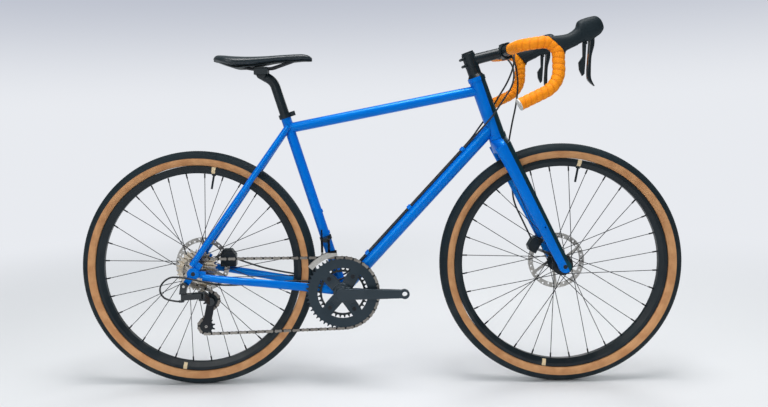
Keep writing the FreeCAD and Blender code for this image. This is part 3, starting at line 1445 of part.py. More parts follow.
def guide_centre():
    """Centre of the guide pulley, which is also the cage's pivot."""
    return at.rear_axle + Vector(size.guide_ahead, 0, -size.guide_fall)


def tension_centre(swing):
    """Centre of the tension pulley with the cage swung from straight down towards the front."""
    return guide_centre() + Vector(math.sin(swing), 0, -math.cos(swing)) * size.cage_length


def chain_wheels(swing):
    """Wheels that the chain passes, in order, as (centre, radius, sense): -1 turns forward."""
    return [
        (at.bracket, pitch_radius_of(RING_TEETH), -1),
        (tension_centre(swing), pitch_radius_of(PULLEY_TEETH), -1),
        (guide_centre(), pitch_radius_of(PULLEY_TEETH), 1),
        (at.rear_axle, pitch_radius_of(COG_TEETH[DRIVEN_COG]), -1),
    ]


def tangent_points(first, second):
    """Where the straight run from one wheel to the next leaves and arrives."""
    centre_a, radius_a, sense_a = first
    centre_b, radius_b, sense_b = second
    run = centre_b - centre_a
    heading = math.atan2(run.z, run.x) - math.asin((sense_b * radius_b - sense_a * radius_a) / run.Length)
    normal = Vector(-math.sin(heading), 0, math.cos(heading))
    return centre_a - normal * (sense_a * radius_a), centre_b - normal * (sense_b * radius_b)


def chain_loop(swing):
    """Pieces of the chain's closed path, each as (length, function of distance along it)."""
    wheels = chain_wheels(swing)
    runs = [tangent_points(wheel, wheels[(number + 1) % len(wheels)]) for number, wheel in enumerate(wheels)]
    pieces = []
    for number, (centre, radius, sense) in enumerate(wheels):
        arrive = runs[number - 1][1] - centre
        leave = runs[number][0] - centre
        start = math.atan2(arrive.z, arrive.x)
        sweep = (math.atan2(leave.z, leave.x) - start) * sense % (2 * math.pi)

        def on_arc(distance, centre=centre, radius=radius, sense=sense, start=start):
            return wheel_point(centre, start + sense * distance / radius, radius, 0)

        def on_run(distance, ends=runs[number]):
            way = ends[1] - ends[0]
            return ends[0] + way.normalize() * distance
        pieces.append((sweep * radius, on_arc))
        pieces.append(((runs[number][1] - runs[number][0]).Length, on_run))
    return pieces


def loop_point(pieces, distance):
    """Point of the loop at a distance from its start, going round again past its end."""
    left = distance % sum(length for length, place in pieces)
    for length, place in pieces:
        if left <= length:
            return place(left)
        left -= length
    return pieces[-1][1](pieces[-1][0])


def walk_chain(pieces, links):
    """Distances along the loop of successive chain joints, each one pitch from the last."""
    distances = [0.0]
    for number in range(links):
        here = loop_point(pieces, distances[-1])
        low = distances[-1] + size.chain_pitch * CHAIN_STEP_SHARES[0]
        high = distances[-1] + size.chain_pitch * CHAIN_STEP_SHARES[1]
        for step in range(40):
            middle = (low + high) / 2
            if (loop_point(pieces, middle) - here).Length < size.chain_pitch:
                low = middle
            else:
                high = middle
        distances.append((low + high) / 2)
    return distances


def loop_length(pieces):
    """Whole length of the loop."""
    return sum(length for length, place in pieces)


NOMINAL_SWING = math.radians(-7.0)
SWING_SEARCH = math.radians(26.0)


def settle_chain():
    """Cage swing at which the loop takes a whole even number of links, and the joints' places."""
    nominal = chain_loop(NOMINAL_SWING)
    links = 2 * round(loop_length(nominal) / size.chain_pitch / 2)
    low = NOMINAL_SWING - SWING_SEARCH
    high = NOMINAL_SWING + SWING_SEARCH

    def spare(swing):
        pieces = chain_loop(swing)
        return walk_chain(pieces, links)[-1] - loop_length(pieces)
    rising = spare(high) > spare(low)
    for step in range(30):
        middle = (low + high) / 2
        if (spare(middle) > 0) == rising:
            high = middle
        else:
            low = middle
    swing = (low + high) / 2
    pieces = chain_loop(swing)
    joints = [loop_point(pieces, distance) for distance in walk_chain(pieces, links)[:-1]]
    return swing, joints


cage_swing, chain_joints = settle_chain()
print("chain links", len(chain_joints), "cage swing", round(math.degrees(cage_swing), 2))


def tooth_phase(centre, teeth):
    """Angle of a gullet that lies under a chain joint on this wheel."""
    radius = pitch_radius_of(teeth)
    errors = [abs((joint - centre).Length - radius) for joint in chain_joints]
    seated = [joint for joint, error in zip(chain_joints, errors) if error < size.fit_gap * SEATED_SHARE]
    middle = seated[len(seated) // 2] - centre
    return math.atan2(middle.z, middle.x)


def link_plate_solid(first, second, start, thick):
    """One side plate of a link between two joints, at an offset across the chain."""
    way = (second - first).normalize()
    across = way.cross(LEFT).normalize() * size.link_half_height
    base = LEFT * start
    corner = [first + across + base, second + across + base, second - across + base, first - across + base]
    tip = second + way * size.link_half_height + base
    tail = first - way * size.link_half_height + base
    middle = first + (second - first) / 2 + base
    waist = across * (1 - size.link_waist / size.link_half_height)
    edges = [
        Part.Arc(corner[0], middle + waist, corner[1]).toShape(), Part.Arc(corner[1], tip, corner[2]).toShape(),
        Part.Arc(corner[2], middle - waist, corner[3]).toShape(), Part.Arc(corner[3], tail, corner[0]).toShape(),
    ]
    return Part.Face(Part.Wire(edges)).extrude(LEFT * thick)


def link_pair(inner_link):
    """A link in its own frame, from the origin along +X: rollers with plates, or outer plates."""
    first = Vector(0, 0, 0)
    second = AHEAD * size.chain_pitch
    half = size.roller_width / 2
    if inner_link:
        solid = None
        for joint in (first, second):
            roller = round_bar(joint - LEFT * half, LEFT, size.roller_radius, size.roller_width)
            solid = roller if solid is None else solid.fuse(roller)
        for start in (half, -half - size.link_plate):
            solid = solid.fuse(link_plate_solid(first, second, start, size.link_plate))
        return [solid.removeSplitter()]
    plates = []
    reach = half + size.link_plate + size.link_play
    for side in SIDES:
        start = reach if side > 0 else -reach - size.link_plate
        plate = link_plate_solid(first, second, start, size.link_plate)
        face = side * (reach + size.link_plate)
        for joint in (first, second):
            plate = plate.fuse(round_bar(joint + LEFT * face, LEFT * side, size.rivet_radius, size.rivet_proud))
        plates.append(plate.removeSplitter())
    return plates


def build_chain():
    """Roller chain: inner links with rollers and outer plates by turns, round the whole loop."""
    kinds = [link_pair(True), link_pair(False)]
    solids = []
    for number, joint in enumerate(chain_joints):
        following = chain_joints[(number + 1) % len(chain_joints)]
        way = following - joint
        turn = FreeCAD.Rotation(LEFT, -math.degrees(math.atan2(way.z, way.x)))
        place = FreeCAD.Placement(joint - LEFT * size.chain_line, turn)
        for solid in kinds[number % 2]:
            link = solid.copy()
            link.Placement = place
            solids.append(link)
    keep("chain", shaped("roller_chain", Part.makeCompound(solids)))


def ring_tab_place(turn_degrees, offset):
    """Centre of a chainring bolt at an offset across the frame."""
    return wheel_point(at.bracket, math.radians(turn_degrees), size.ring_bolt_circle, -offset)


def chainring_shape(teeth, offset, phase):
    """Chainring: a toothed band with a tab for each bolt."""
    centre = at.bracket - LEFT * offset
    root = pitch_radius_of(teeth)
    bore = max(root - size.ring_band, size.ring_bolt_circle + size.ring_bolt_radius)
    if teeth == RING_TEETH:
        bore = root - size.ring_band * 2
    ring = sprocket(centre, teeth, phase, size.ring_thick, bore)
    base = centre - LEFT * (size.ring_thick / 2)
    for turn_degrees in SPIDER_ANGLES:
        turn = math.radians(turn_degrees)
        tab = wheel_point(base, turn, size.ring_bolt_circle, 0)
        outward = wheel_point(Vector(0, 0, 0), turn, 1, 0)
        across = outward.cross(LEFT) * size.ring_tab_radius
        tip = wheel_point(base, turn, bore + size.gullet_radius, 0)
        ring = ring.fuse(slab([tab + across, tip + across, tip - across, tab - across], LEFT * size.ring_thick))
        ring = ring.fuse(round_bar(tab, LEFT, size.ring_tab_radius, size.ring_thick))
    for turn_degrees in SPIDER_ANGLES:
        tab = wheel_point(base, math.radians(turn_degrees), size.ring_bolt_circle, 0)
        ring = ring.cut(round_bar(tab, LEFT, size.ring_bolt_radius + size.fit_gap, size.ring_thick))
    return ring.removeSplitter()


def crank_arm_shape(side, way, root_inner, root_outer):
    """Crank arm: a round root on the spindle tapering to the pedal eye."""
    out = LEFT * side
    root = at.bracket + out * root_inner
    eye = at.bracket + way * size.crank_length + out * size.crank_end_inner
    root_thick = root_outer - root_inner
    eye_thick = size.crank_end_outer - size.crank_end_inner
    across = way.cross(LEFT).normalize()

    def section(centre, half, thick):
        return wire_of([centre + across * half, centre + across * half + out * thick,
                        centre - across * half + out * thick, centre - across * half])
    bar = Part.makeLoft([section(root, size.crank_root_radius * CRANK_WAIST_SHARE, root_thick),
                         section(eye, size.crank_end_radius * CRANK_WAIST_SHARE, eye_thick)], True, True)
    body = bar.fuse(round_bar(root, out, size.crank_root_radius, root_thick))
    body = body.fuse(round_bar(eye, out, size.crank_end_radius, eye_thick))
    thread = round_bar(eye - out * size.overrun, out, size.pedal_thread_radius, eye_thick + size.overrun * 2)
    return body.cut(thread)


def build_cranks():
    """Right arm with spider and spindle, left arm, both chainrings and their bolts."""
    right = crank_arm_shape(-1, AHEAD, size.crank_root_inner, size.crank_root_outer)
    outer_ring_inside = size.chain_line - size.ring_thick / 2
    spider_base = at.bracket - LEFT * size.spider_tab_inner
    hub_start = at.bracket - LEFT * (size.shell_width / 2 + size.cup_width + size.clear_gap)
    pieces = [round_bar(hub_start, LEFT * -1, size.spider_hub_radius,
                        size.spider_outer - size.shell_width / 2 - size.cup_width - size.clear_gap)]
    for turn_degrees in SPIDER_ANGLES:
        turn = math.radians(turn_degrees)
        outward = wheel_point(Vector(0, 0, 0), turn, 1, 0)
        across = outward.cross(LEFT) * (size.spider_arm_width / 2)
        tab = wheel_point(spider_base, turn, size.ring_bolt_circle, 0)
        thick = LEFT * -(outer_ring_inside - size.spider_tab_inner)
        inner_edge = wheel_point(spider_base, turn, size.spider_hub_radius * SPIDER_ROOT_SHARE, 0)
        pieces.append(slab([inner_edge + across, tab + across, tab - across, inner_edge - across], thick))
        pieces.append(round_bar(tab, LEFT * -1, size.ring_tab_radius, outer_ring_inside - size.spider_tab_inner))
    cup_room = round_bar(at.bracket, LEFT * -1, size.cup_radius + size.clear_gap,
                         size.shell_width / 2 + size.cup_width + size.clear_gap)
    press_end = size.crank_root_inner + size.spindle_press
    seat = round_bar(at.bracket, LEFT * -1, size.spindle_radius + size.fit_gap, press_end)
    spindle = ring_solid(at.bracket + LEFT * size.left_root_outer, LEFT * -1, size.spindle_radius,
                         size.spindle_radius - size.spindle_wall, size.left_root_outer + press_end)
    bolt_holes = [
        round_bar(ring_tab_place(turn_degrees, 0), LEFT * -1, size.ring_bolt_radius + size.fit_gap, size.spider_outer)
        for turn_degrees in SPIDER_ANGLES
    ]
    spider = pieces[0].multiFuse(pieces[1:]).cut(cup_room).cut(seat).cut(right)
    spider = spider.cut(Part.makeCompound(bolt_holes)).removeSplitter()
    right_pieces = [largest(right.cut(seat)), largest(spider), spindle]
    keep("crank_arm_right", shaped("right_crank", Part.makeCompound(right_pieces)))
    left = crank_arm_shape(1, AHEAD * -1, size.left_root_inner, size.left_root_outer)
    left = left.cut(round_bar(at.bracket, LEFT, size.spindle_radius + size.fit_gap, size.left_root_outer * 2))
    keep("crank_arm_left", shaped("left_crank", largest(left)))
    ring_phase = tooth_phase(at.bracket, RING_TEETH)
    outer = chainring_shape(RING_TEETH, size.chain_line, ring_phase)
    inner = chainring_shape(INNER_RING_TEETH, size.chain_line - size.ring_spacing, ring_phase)
    keep("outer_chainring", shaped("big_ring", outer))
    keep("inner_chainring", shaped("small_ring", inner))
    bolts = []
    low = size.chain_line - size.ring_spacing - size.ring_thick / 2
    high = size.chain_line + size.ring_thick / 2
    for turn_degrees in SPIDER_ANGLES:
        shank = round_bar(ring_tab_place(turn_degrees, low), LEFT * -1, size.ring_bolt_radius, high - low)
        front = round_bar(ring_tab_place(turn_degrees, high), LEFT * -1, size.ring_bolt_head_radius,
                          size.ring_bolt_head)
        back = round_bar(ring_tab_place(turn_degrees, low), LEFT, size.ring_bolt_head_radius, size.ring_bolt_head)
        bolts.append(shank.fuse(front).fuse(back).removeSplitter())
    keep("chainring_bolts", shaped("ring_bolts", Part.makeCompound(bolts)))


def cog_offset(number):
    """Distance of a cog's middle plane from the frame's middle plane."""
    return size.chain_line + (DRIVEN_COG - number) * size.cog_pitch


def build_cassette():
    """Cassette: cogs, spacers between them, the freewheel body under them and the lockring."""
    pieces = []
    core = size.freehub_radius + size.fit_gap
    for number, teeth in enumerate(COG_TEETH):
        centre = at.rear_axle - LEFT * cog_offset(number)
        phase = tooth_phase(at.rear_axle, COG_TEETH[DRIVEN_COG])
        pieces.append(sprocket(centre, teeth, phase, size.cog_thick, core))
        if number:
            start = centre - LEFT * (size.cog_thick / 2)
            pieces.append(ring_solid(start, LEFT * -1, size.cog_core_radius, core, size.cog_pitch - size.cog_thick))
    last = cog_offset(0) + size.cog_thick / 2
    first = cog_offset(len(COG_TEETH) - 1) - size.cog_thick / 2
    bore = size.freewheel_axle_radius + size.fit_gap
    body = ring_solid(at.rear_axle - LEFT * first, LEFT * -1, size.freehub_radius, bore, last - first)
    pieces.append(body)
    lockring_bore = size.hub_cap_radius + size.clear_gap
    pieces.append(ring_solid(at.rear_axle - LEFT * last, LEFT * -1, size.lockring_radius, lockring_bore,
                             size.lockring_thick))
    keep("cassette", shaped("cassette_stack", Part.makeCompound(pieces)))


def build_pulleys():
    """Guide and tension pulleys of the rear derailleur."""
    for word, centre in (("guide", guide_centre()), ("tension", tension_centre(cage_swing))):
        phase = tooth_phase(centre, PULLEY_TEETH)
        wheel = sprocket(centre - LEFT * size.chain_line, PULLEY_TEETH, phase, size.pulley_thick,
                         size.pulley_bolt_radius + size.fit_gap)
        keep(f"{word}_pulley", shaped(f"{word}_wheel", wheel))


def rounded_bar(first, second, radius, direction):
    """Flat bar with round ends between two points, pushed along a direction."""
    way = (second - first).normalize()
    across = way.cross(direction).normalize() * radius
    bar = slab([first + across, second + across, second - across, first - across], direction)
    length = direction.Length
    for end in (first, second):
        bar = bar.fuse(round_bar(end, direction, radius, length))
    return bar.removeSplitter()


def derailleur_points():
    """Pivots of the rear derailleur: hanger eye, link pivots and the cage's axis."""
    eye = at.rear_axle + Vector(-size.hanger_back, 0, -size.hanger_fall)
    hanger_outer = size.rear_hub_half + size.dropout_thick + size.hanger_thick
    face = eye - LEFT * (hanger_outer + size.clear_gap)
    root = face + Vector(-size.knuckle_back, -size.knuckle_width / 2, -size.knuckle_fall)
    span = Vector(size.link_span, size.link_inward, 0)
    return SimpleNamespace(face=face, root=root, tip=root + span, span=span)


def build_rear_derailleur():
    """Rear derailleur: fixed knuckle, two parallel links, moving knuckle and the pulley cage."""
    spot = derailleur_points()
    apart = LEFT * (size.link_separation / 2)
    tall = UP * size.link_height
    thick = size.link_thick
    boss = round_bar(spot.face, LEFT * -1, size.knuckle_radius, size.knuckle_width)
    hanger_pin = round_bar(spot.face, LEFT, size.hanger_pin_radius, size.clear_gap + size.hanger_thick)
    inner_face = Vector(spot.root.x, spot.face.y, spot.root.z)
    arm = rounded_bar(spot.face, inner_face, size.knuckle_radius * KNUCKLE_ARM_SHARE, LEFT * -size.knuckle_width)
    gap_room = half_block(spot.root, size.knuckle_radius * 2, size.knuckle_width * 2,
                          size.link_height + size.clear_gap * 2)
    pins = [round_bar(spot.root + apart * side - tall * PIN_REACH_SHARE, UP, size.link_pin_radius,
                      size.link_height * PIN_REACH_SHARE * 2) for side in SIDES]
    low_plate = spot.root - UP * (size.link_height / 2 + size.clear_gap + size.adjuster_radius)
    adjuster = round_bar(low_plate, AHEAD * -1, size.adjuster_radius,
                         size.link_pin_radius * 3 + size.adjuster_length)
    plates = [knuckle_plate(spot.root, side) for side in SIDES]
    knuckle = boss.fuse(arm).cut(gap_room).multiFuse(pins + plates + [adjuster, hanger_pin])
    keep("derailleur_knuckle", shaped("upper_knuckle", largest(knuckle.removeSplitter())))
    for word, side in (("outer", -1), ("inner", 1)):
        start = spot.root + apart * side - tall / 2
        end = spot.tip + apart * side - tall / 2
        link = rounded_link(start, end, thick, tall)
        keep(f"derailleur_{word}_link", shaped(f"{word}_parallel_link", link))
    guide = guide_centre() - LEFT * size.chain_line
    outer_face = guide - LEFT * (size.cage_gap + size.cage_plate + size.clear_gap)
    barrel = round_bar(outer_face, LEFT * -1, size.lower_knuckle_radius, size.lower_knuckle_width)
    socket = round_bar(outer_face, LEFT * -1, size.cage_pin_radius + size.fit_gap,
                       size.cage_pin_length + size.clear_gap)
    lower_pins = [round_bar(spot.tip + apart * side - tall * PIN_REACH_SHARE, UP, size.link_pin_radius,
                            size.link_height * PIN_REACH_SHARE * 2) for side in SIDES]
    plates = [knuckle_plate(spot.tip, side) for side in SIDES]
    back = outer_face - LEFT * size.lower_knuckle_width
    bridge = Part.makeLoft([
        wire_of(plate_corners(spot.tip + UP * (size.link_height / 2 + size.clear_gap))),
        wire_of(plate_corners(spot.tip + UP * (size.link_height / 2 + size.clear_gap + size.link_thick))),
    ], True, True)
    moving = lower_knuckle(barrel, back, plates, lower_pins, bridge).cut(socket)
    keep("derailleur_lower_knuckle", shaped("moving_knuckle", moving))
    keep("derailleur_cage", shaped("pulley_cage", cage_shape()))


def plate_corners(centre):
    """Corners of a knuckle's flat plate round both link pins."""
    half_long = size.link_pin_radius * 3
    half_wide = size.link_separation / 2 + size.link_pin_radius * 2
    return [centre + Vector(-half_long, -half_wide, 0), centre + Vector(half_long, -half_wide, 0),
            centre + Vector(half_long, half_wide, 0), centre + Vector(-half_long, half_wide, 0)]


def knuckle_plate(centre, level):
    """Plate above or below the links that holds their pins."""
    lift = size.link_height / 2 + size.clear_gap
    base = centre + UP * (level * lift)
    return slab(plate_corners(base), UP * (level * size.link_thick))


def half_block(centre, half_x, half_y, height):
    """Box centred on a point."""
    corner = centre - Vector(half_x, half_y, height / 2)
    return Part.makeBox(half_x * 2, half_y * 2, height, corner)


def rounded_link(start, end, thick, tall):
    """Parallel link: an upright bar with a bored eye at each end."""
    bar = rounded_bar(start, end, thick / 2 + size.link_pin_radius / 2, tall)
    for eye in (start, end):
        bar = bar.cut(round_bar(eye - tall, UP, size.link_pin_radius + size.fit_gap, size.link_height * 3))
    return bar.removeSplitter()


def lower_knuckle(barrel, back, plates, pins, bridge):
    """Moving knuckle: pin plates joined by a web to the barrel that carries the cage."""
    spot = derailleur_points()
    centre = Vector(back.x, back.y, back.z)
    wall_start = spot.tip + AHEAD * (size.link_pin_radius * 3)
    half_y = size.link_separation / 2 + size.link_pin_radius * 2
    half_z = size.link_height / 2 + size.clear_gap + size.link_thick
    wall = Part.makeBox(size.link_thick, half_y * 2, half_z * 2,
                        wall_start - Vector(0, half_y, half_z))
    tie_start = wall_start + AHEAD * (size.link_thick / 2)
    tie = Part.makeLoft([
        wire_of([tie_start + Vector(0, -half_y, -half_z), tie_start + Vector(0, half_y, -half_z),
                 tie_start + Vector(0, half_y, half_z), tie_start + Vector(0, -half_y, half_z)]),
        wire_of([centre + Vector(0, 0, -half_z), centre + Vector(0, size.lower_knuckle_width, -half_z),
                 centre + Vector(0, size.lower_knuckle_width, half_z), centre + Vector(0, 0, half_z)]),
    ], True, True)
    return largest(barrel.multiFuse([wall, tie, bridge] + plates + pins).removeSplitter())


def cage_shape():
    """Pulley cage: two plates with round ends, joined by the pulleys' bolts and a bush."""
    top = guide_centre() - LEFT * size.chain_line
    low = tension_centre(cage_swing) - LEFT * size.chain_line
    pieces = []
    for side in SIDES:
        offset = LEFT * (side * size.cage_gap)
        pieces.append(rounded_bar(top + offset, low + offset, size.cage_end_radius, LEFT * (side * size.cage_plate)))
    for end in (top, low):
        reach = LEFT * (size.cage_gap + size.cage_plate)
        pieces.append(round_bar(end - reach, LEFT, size.pulley_bolt_radius, reach.Length * 2))
    pieces.append(round_bar(top - LEFT * size.cage_gap, LEFT * -1, size.cage_pin_radius,
                            size.cage_plate + size.clear_gap + size.cage_pin_length))
    return largest(pieces[0].multiFuse(pieces[1:]).removeSplitter())


def build_front_derailleur():
    """Front derailleur: band on the seat tube with a pivot block, and the swinging cage."""
    pivot = shifter_pivot()
    middle = at.bracket + at.seat_up * ((pivot.z - at.bracket.z) / at.seat_up.z)
    base = middle - at.seat_up * (size.shifter_band / 2)
    bore = seat_tube_radius + size.fit_gap
    band = ring_solid(base, at.seat_up, seat_tube_radius + size.shifter_band_wall, bore, size.shifter_band)
    half = size.shifter_band / 2
    reach = size.shifter_pivot_offset + size.shifter_arm_radius
    block = Part.makeBox(size.shifter_band, reach, size.shifter_band, pivot + Vector(-half, -size.shifter_arm_radius, -half))
    tube = round_bar(at.bracket, at.seat_up, bore, size.seat_tube_length)
    pin = round_bar(pivot - AHEAD * (size.shifter_block_length / 2), AHEAD, size.link_pin_radius,
                    size.shifter_block_length)
    near_side = Part.makeBox(size.shifter_band * 4, reach * 2, size.shifter_band * 2,
                             Vector(middle.x - size.shifter_band * 2, middle.y, middle.z - size.shifter_band))
    clamp = band.fuse(block.cut(near_side)).fuse(pin).cut(tube)
    keep("front_derailleur_clamp", shaped("shifter_clamp", largest(clamp.removeSplitter())))
    keep("front_derailleur_cage", shaped("shifter_cage", shifter_cage(pivot)))


def shifter_pivot():
    """Middle of the front derailleur's hinge pin."""
    run = size.shifter_clamp_height / at.seat_up.z
    return at.bracket + at.seat_up * run - LEFT * size.shifter_pivot_offset


SHIFTER_ARC_DEGREES = (97.0, 141.0)


def shifter_plate(offset, thick):
    """Cage plate: an arc just outside the big ring's teeth."""
    inner = pitch_radius_of(RING_TEETH) + size.tooth_height + size.shifter_plate_lift
    outer = inner + size.shifter_plate_height
    centre = at.bracket - LEFT * offset
    start, end = (math.radians(turn) for turn in SHIFTER_ARC_DEGREES)
    middle = (start + end) / 2
    edges = [
        Part.Arc(wheel_point(centre, start, inner, 0), wheel_point(centre, middle, inner, 0),
                 wheel_point(centre, end, inner, 0)).toShape(),
        Part.LineSegment(wheel_point(centre, end, inner, 0), wheel_point(centre, end, outer, 0)).toShape(),
        Part.Arc(wheel_point(centre, end, outer, 0), wheel_point(centre, middle, outer, 0),
                 wheel_point(centre, start, outer, 0)).toShape(),
        Part.LineSegment(wheel_point(centre, start, outer, 0), wheel_point(centre, start, inner, 0)).toShape(),
    ]
    return Part.Face(Part.Wire(edges)).extrude(LEFT * thick)


def shifter_cage(pivot):
    """Front derailleur cage with its bridge, hinge lug and cable lever."""
    outer_offset = size.chain_line + size.shifter_outer_gap
    inner_offset = size.chain_line - size.shifter_inner_gap
    outer = shifter_plate(outer_offset, -size.shifter_plate)
    inner = shifter_plate(inner_offset, size.shifter_plate)
    inside = pitch_radius_of(RING_TEETH) + size.tooth_height + size.shifter_plate_lift
    top = inside + size.shifter_plate_height
    tail = math.radians(SHIFTER_ARC_DEGREES[1])
    front = math.radians(SHIFTER_ARC_DEGREES[0])
    span = LEFT * (outer_offset - inner_offset + size.shifter_plate)
    pieces = [outer, inner]
    for turn in (front, tail):
        lean = size.shifter_plate / inside * (1 if turn == front else -1)
        corners = [
            wheel_point(at.bracket, turn, top, -outer_offset),
            wheel_point(at.bracket, turn + lean, top, -outer_offset),
            wheel_point(at.bracket, turn + lean, top - size.shifter_plate * 3, -outer_offset),
            wheel_point(at.bracket, turn, top - size.shifter_plate * 3, -outer_offset),
        ]
        pieces.append(slab(corners, span))
    lug_half = size.shifter_block_length / 2
    gap = size.shifter_band / 2 + size.clear_gap
    for side in SIDES:
        start = pivot + AHEAD * (side * gap)
        pieces.append(round_bar(start, AHEAD * side, size.shifter_arm_radius * LUG_SHARE, lug_half - gap))
    foot_z = at.bracket.z + top * math.sin(math.radians(sum(SHIFTER_ARC_DEGREES) / 2)) - size.shifter_plate * 2
    for side in SIDES:
        low = pivot + AHEAD * (side * gap)
        width = AHEAD * (side * (lug_half - gap))
        foot = Vector(low.x, -inner_offset, foot_z)
        thick = LEFT * size.shifter_plate
        reach = LEFT * (size.shifter_arm_radius)
        pieces.append(slab([low + reach, low - reach, foot, foot + thick], width))
    lever = pivot - AHEAD * (lug_half - (lug_half - gap) / 2)
    pieces.append(round_bar(lever, UP, size.shifter_arm_radius * LUG_SHARE / 2, size.shifter_lever_rise))
    body = pieces[0].multiFuse(pieces[1:])
    hole = round_bar(pivot - AHEAD * size.shifter_block_length, AHEAD, size.link_pin_radius + size.fit_gap,
                     size.shifter_block_length * 2)
    return largest(body.cut(hole).removeSplitter())


def caliper_shape(axle, centre, lean, rotor_offset, tall):
    """Brake caliper: a chamfered block over the rotor's edge, with a slot that the rotor runs in."""
    turn = math.radians(lean)
    ahead = Vector(math.cos(turn), 0, math.sin(turn))
    up = Vector(-math.sin(turn), 0, math.cos(turn))
    inner = LEFT * (rotor_offset - size.caliper_inner_width)
    corners = [centre + inner + ahead * (long_share * size.caliper_length) + up * (tall_share * tall)
               for long_share, tall_share in CALIPER_SHARES]
    block = slab(corners, LEFT * (size.caliper_inner_width + size.caliper_outer_width))
    slot_start = axle + LEFT * (rotor_offset - size.caliper_slot / 2)
    return block.cut(round_bar(slot_start, LEFT, size.rotor_radius + size.caliper_slot / 2, size.caliper_slot))


FRONT_CALIPER_LEAN = 60.0
REAR_CALIPER_LEAN = 0.0


def build_calipers():
    """Front caliper behind the left blade and rear caliper on the left chainstay."""
    front_centre = at.front_axle + Vector(-size.front_caliper_back, 0, size.front_caliper_up)
    front = caliper_shape(at.front_axle, front_centre, FRONT_CALIPER_LEAN, size.front_hub_half - size.rotor_inset,
                          size.front_caliper_height)
    keep("front_caliper", shaped("front_caliper_body", largest(front.cut(nodes["fork"].Shape))))
    rear_centre = at.rear_axle + Vector(size.rear_caliper_ahead, 0, size.rear_caliper_up)
    rear = caliper_shape(at.rear_axle, rear_centre, REAR_CALIPER_LEAN, size.rear_hub_half - size.rotor_inset,
                         size.rear_caliper_height)
    keep("rear_caliper", shaped("rear_caliper_body", largest(rear.cut(nodes["chainstays"].Shape))))


def stepped(anchor, shares):
    """Points of a cord, given in cord steps from an anchor."""
    return [anchor + Vector(*share) * size.cord_step for share in shares]


def clipped_run(side):
    """The straight run of a cord through the down tube's clips on one side."""
    way, out = down_tube_ways()
    lift = out * clip_lift() + LEFT * (side * size.clip_spread)
    clips = [at.down_joint + (at.bracket - at.down_joint) * share + lift for share in CLIP_RUN_SHARES]
    return [clips[0] + way * size.clip_lead, clips[-1] - way * size.clip_lead]


def build_cables():
    """Rear brake hose and shift housing on the frame, and the front hose on the fork."""
    hose = stepped(at.bar, REAR_HOSE_BAR_SHARES) + clipped_run(1)
    hose += stepped(at.bracket, REAR_HOSE_BRACKET_SHARES) + stepped(at.rear_axle, REAR_HOSE_AXLE_SHARES)
    housing = stepped(at.bar, SHIFT_BAR_SHARES) + clipped_run(-1)
    housing += stepped(at.bracket, SHIFT_BRACKET_SHARES) + stepped(at.rear_axle, SHIFT_AXLE_SHARES)
    solids = [cord(points, size.hose_radius) for points in (hose, housing)]
    keep("rear_control_cables", shaped("rear_cable_set", Part.makeCompound(solids)))
    front = stepped(at.bar, FRONT_HOSE_BAR_SHARES) + stepped(at.front_axle, FRONT_HOSE_AXLE_SHARES)
    keep("front_brake_hose", shaped("front_hose", cord(front, size.hose_radius)))


def seatpost_points():
    """Foot, knee and head of the seatpost's middle line."""
    knee = at.seat_top + at.seat_up * size.seatpost_showing
    head = knee + Vector(-size.seatpost_setback, 0, size.seatpost_head_rise)
    return at.seat_top - at.seat_up * size.seatpost_inside, knee, head


def rail_path(side):
    """Saddle rail from its nose socket, along the clamp, to its tail socket."""
    foot, knee, head = seatpost_points()
    level = head + UP * size.rail_rise
    return rounded_path([
        level + Vector(size.rail_nose_reach, side * size.rail_nose_spread, size.rail_nose_rise),
        level + Vector(size.rail_flat_fore, side * size.rail_spread, 0),
        level + Vector(-size.rail_flat_aft, side * size.rail_spread, 0),
        level + Vector(-size.rail_tail_reach, side * size.rail_tail_spread, size.rail_tail_rise),
    ], [size.rail_bend * 2, size.rail_bend * 2])


def build_seatpost():
    """Seatpost with its cranked head, the rail clamp and the saddle rails."""
    foot, knee, head = seatpost_points()
    post = pipe(rounded_path([foot, knee, head], [size.seatpost_bend]), size.seatpost_radius)
    hollow = round_bar(foot, at.seat_up, size.seatpost_radius - size.seatpost_wall,
                       (knee - foot).Length - size.seatpost_bend)
    half = size.head_barrel_width / 2
    barrel = round_bar(head - LEFT * half, LEFT, size.head_barrel_radius, size.head_barrel_width)
    rails = [pipe(rail_path(side), size.rail_radius) for side in SIDES]
    cradle_top = head.z + size.rail_rise
    length = size.clamp_length
    wide = size.rail_spread + size.rail_radius * 2
    cradle = Part.makeBox(length, wide * 2, cradle_top - head.z - size.clear_gap,
                          Vector(head.x - length / 2, -wide, head.z))
    grooves = Part.makeCompound([
        round_bar(Vector(head.x - length, side * size.rail_spread, cradle_top), AHEAD,
                  size.rail_radius + size.fit_gap, length * 2) for side in SIDES
    ])
    body = post.fuse(barrel).fuse(cradle).cut(hollow).cut(grooves)
    keep("seatpost", shaped("post_and_head", largest(body.removeSplitter())))
    cap = Part.makeBox(length, wide * 2, size.clamp_plate_height,
                       Vector(head.x - length / 2, -wide, cradle_top + size.clear_gap))
    cap = cap.cut(grooves)
    bolt = round_bar(Vector(head.x, 0, cradle_top + size.clear_gap + size.clamp_plate_height), UP,
                     size.clamp_bolt_radius * 2, size.clamp_bolt_head)
    keep("saddle_clamp", shaped("rail_clamp", largest(cap.fuse(bolt).removeSplitter())))
    keep("saddle_rails", shaped("rail_pair", Part.makeCompound(rails)))


def saddle_section(run_share, wide_share, top_share, deep_share):
    """Half width, top, bottom and place of the saddle at a share of its length."""
    foot, knee, head = seatpost_points()
    place = head.x - size.saddle_setback + run_share * size.saddle_length
    half = wide_share * size.saddle_width / 2
    top = head.z + size.saddle_rise + top_share * size.saddle_depth
    bottom = top - deep_share * size.saddle_depth
    return place, half, top, bottom


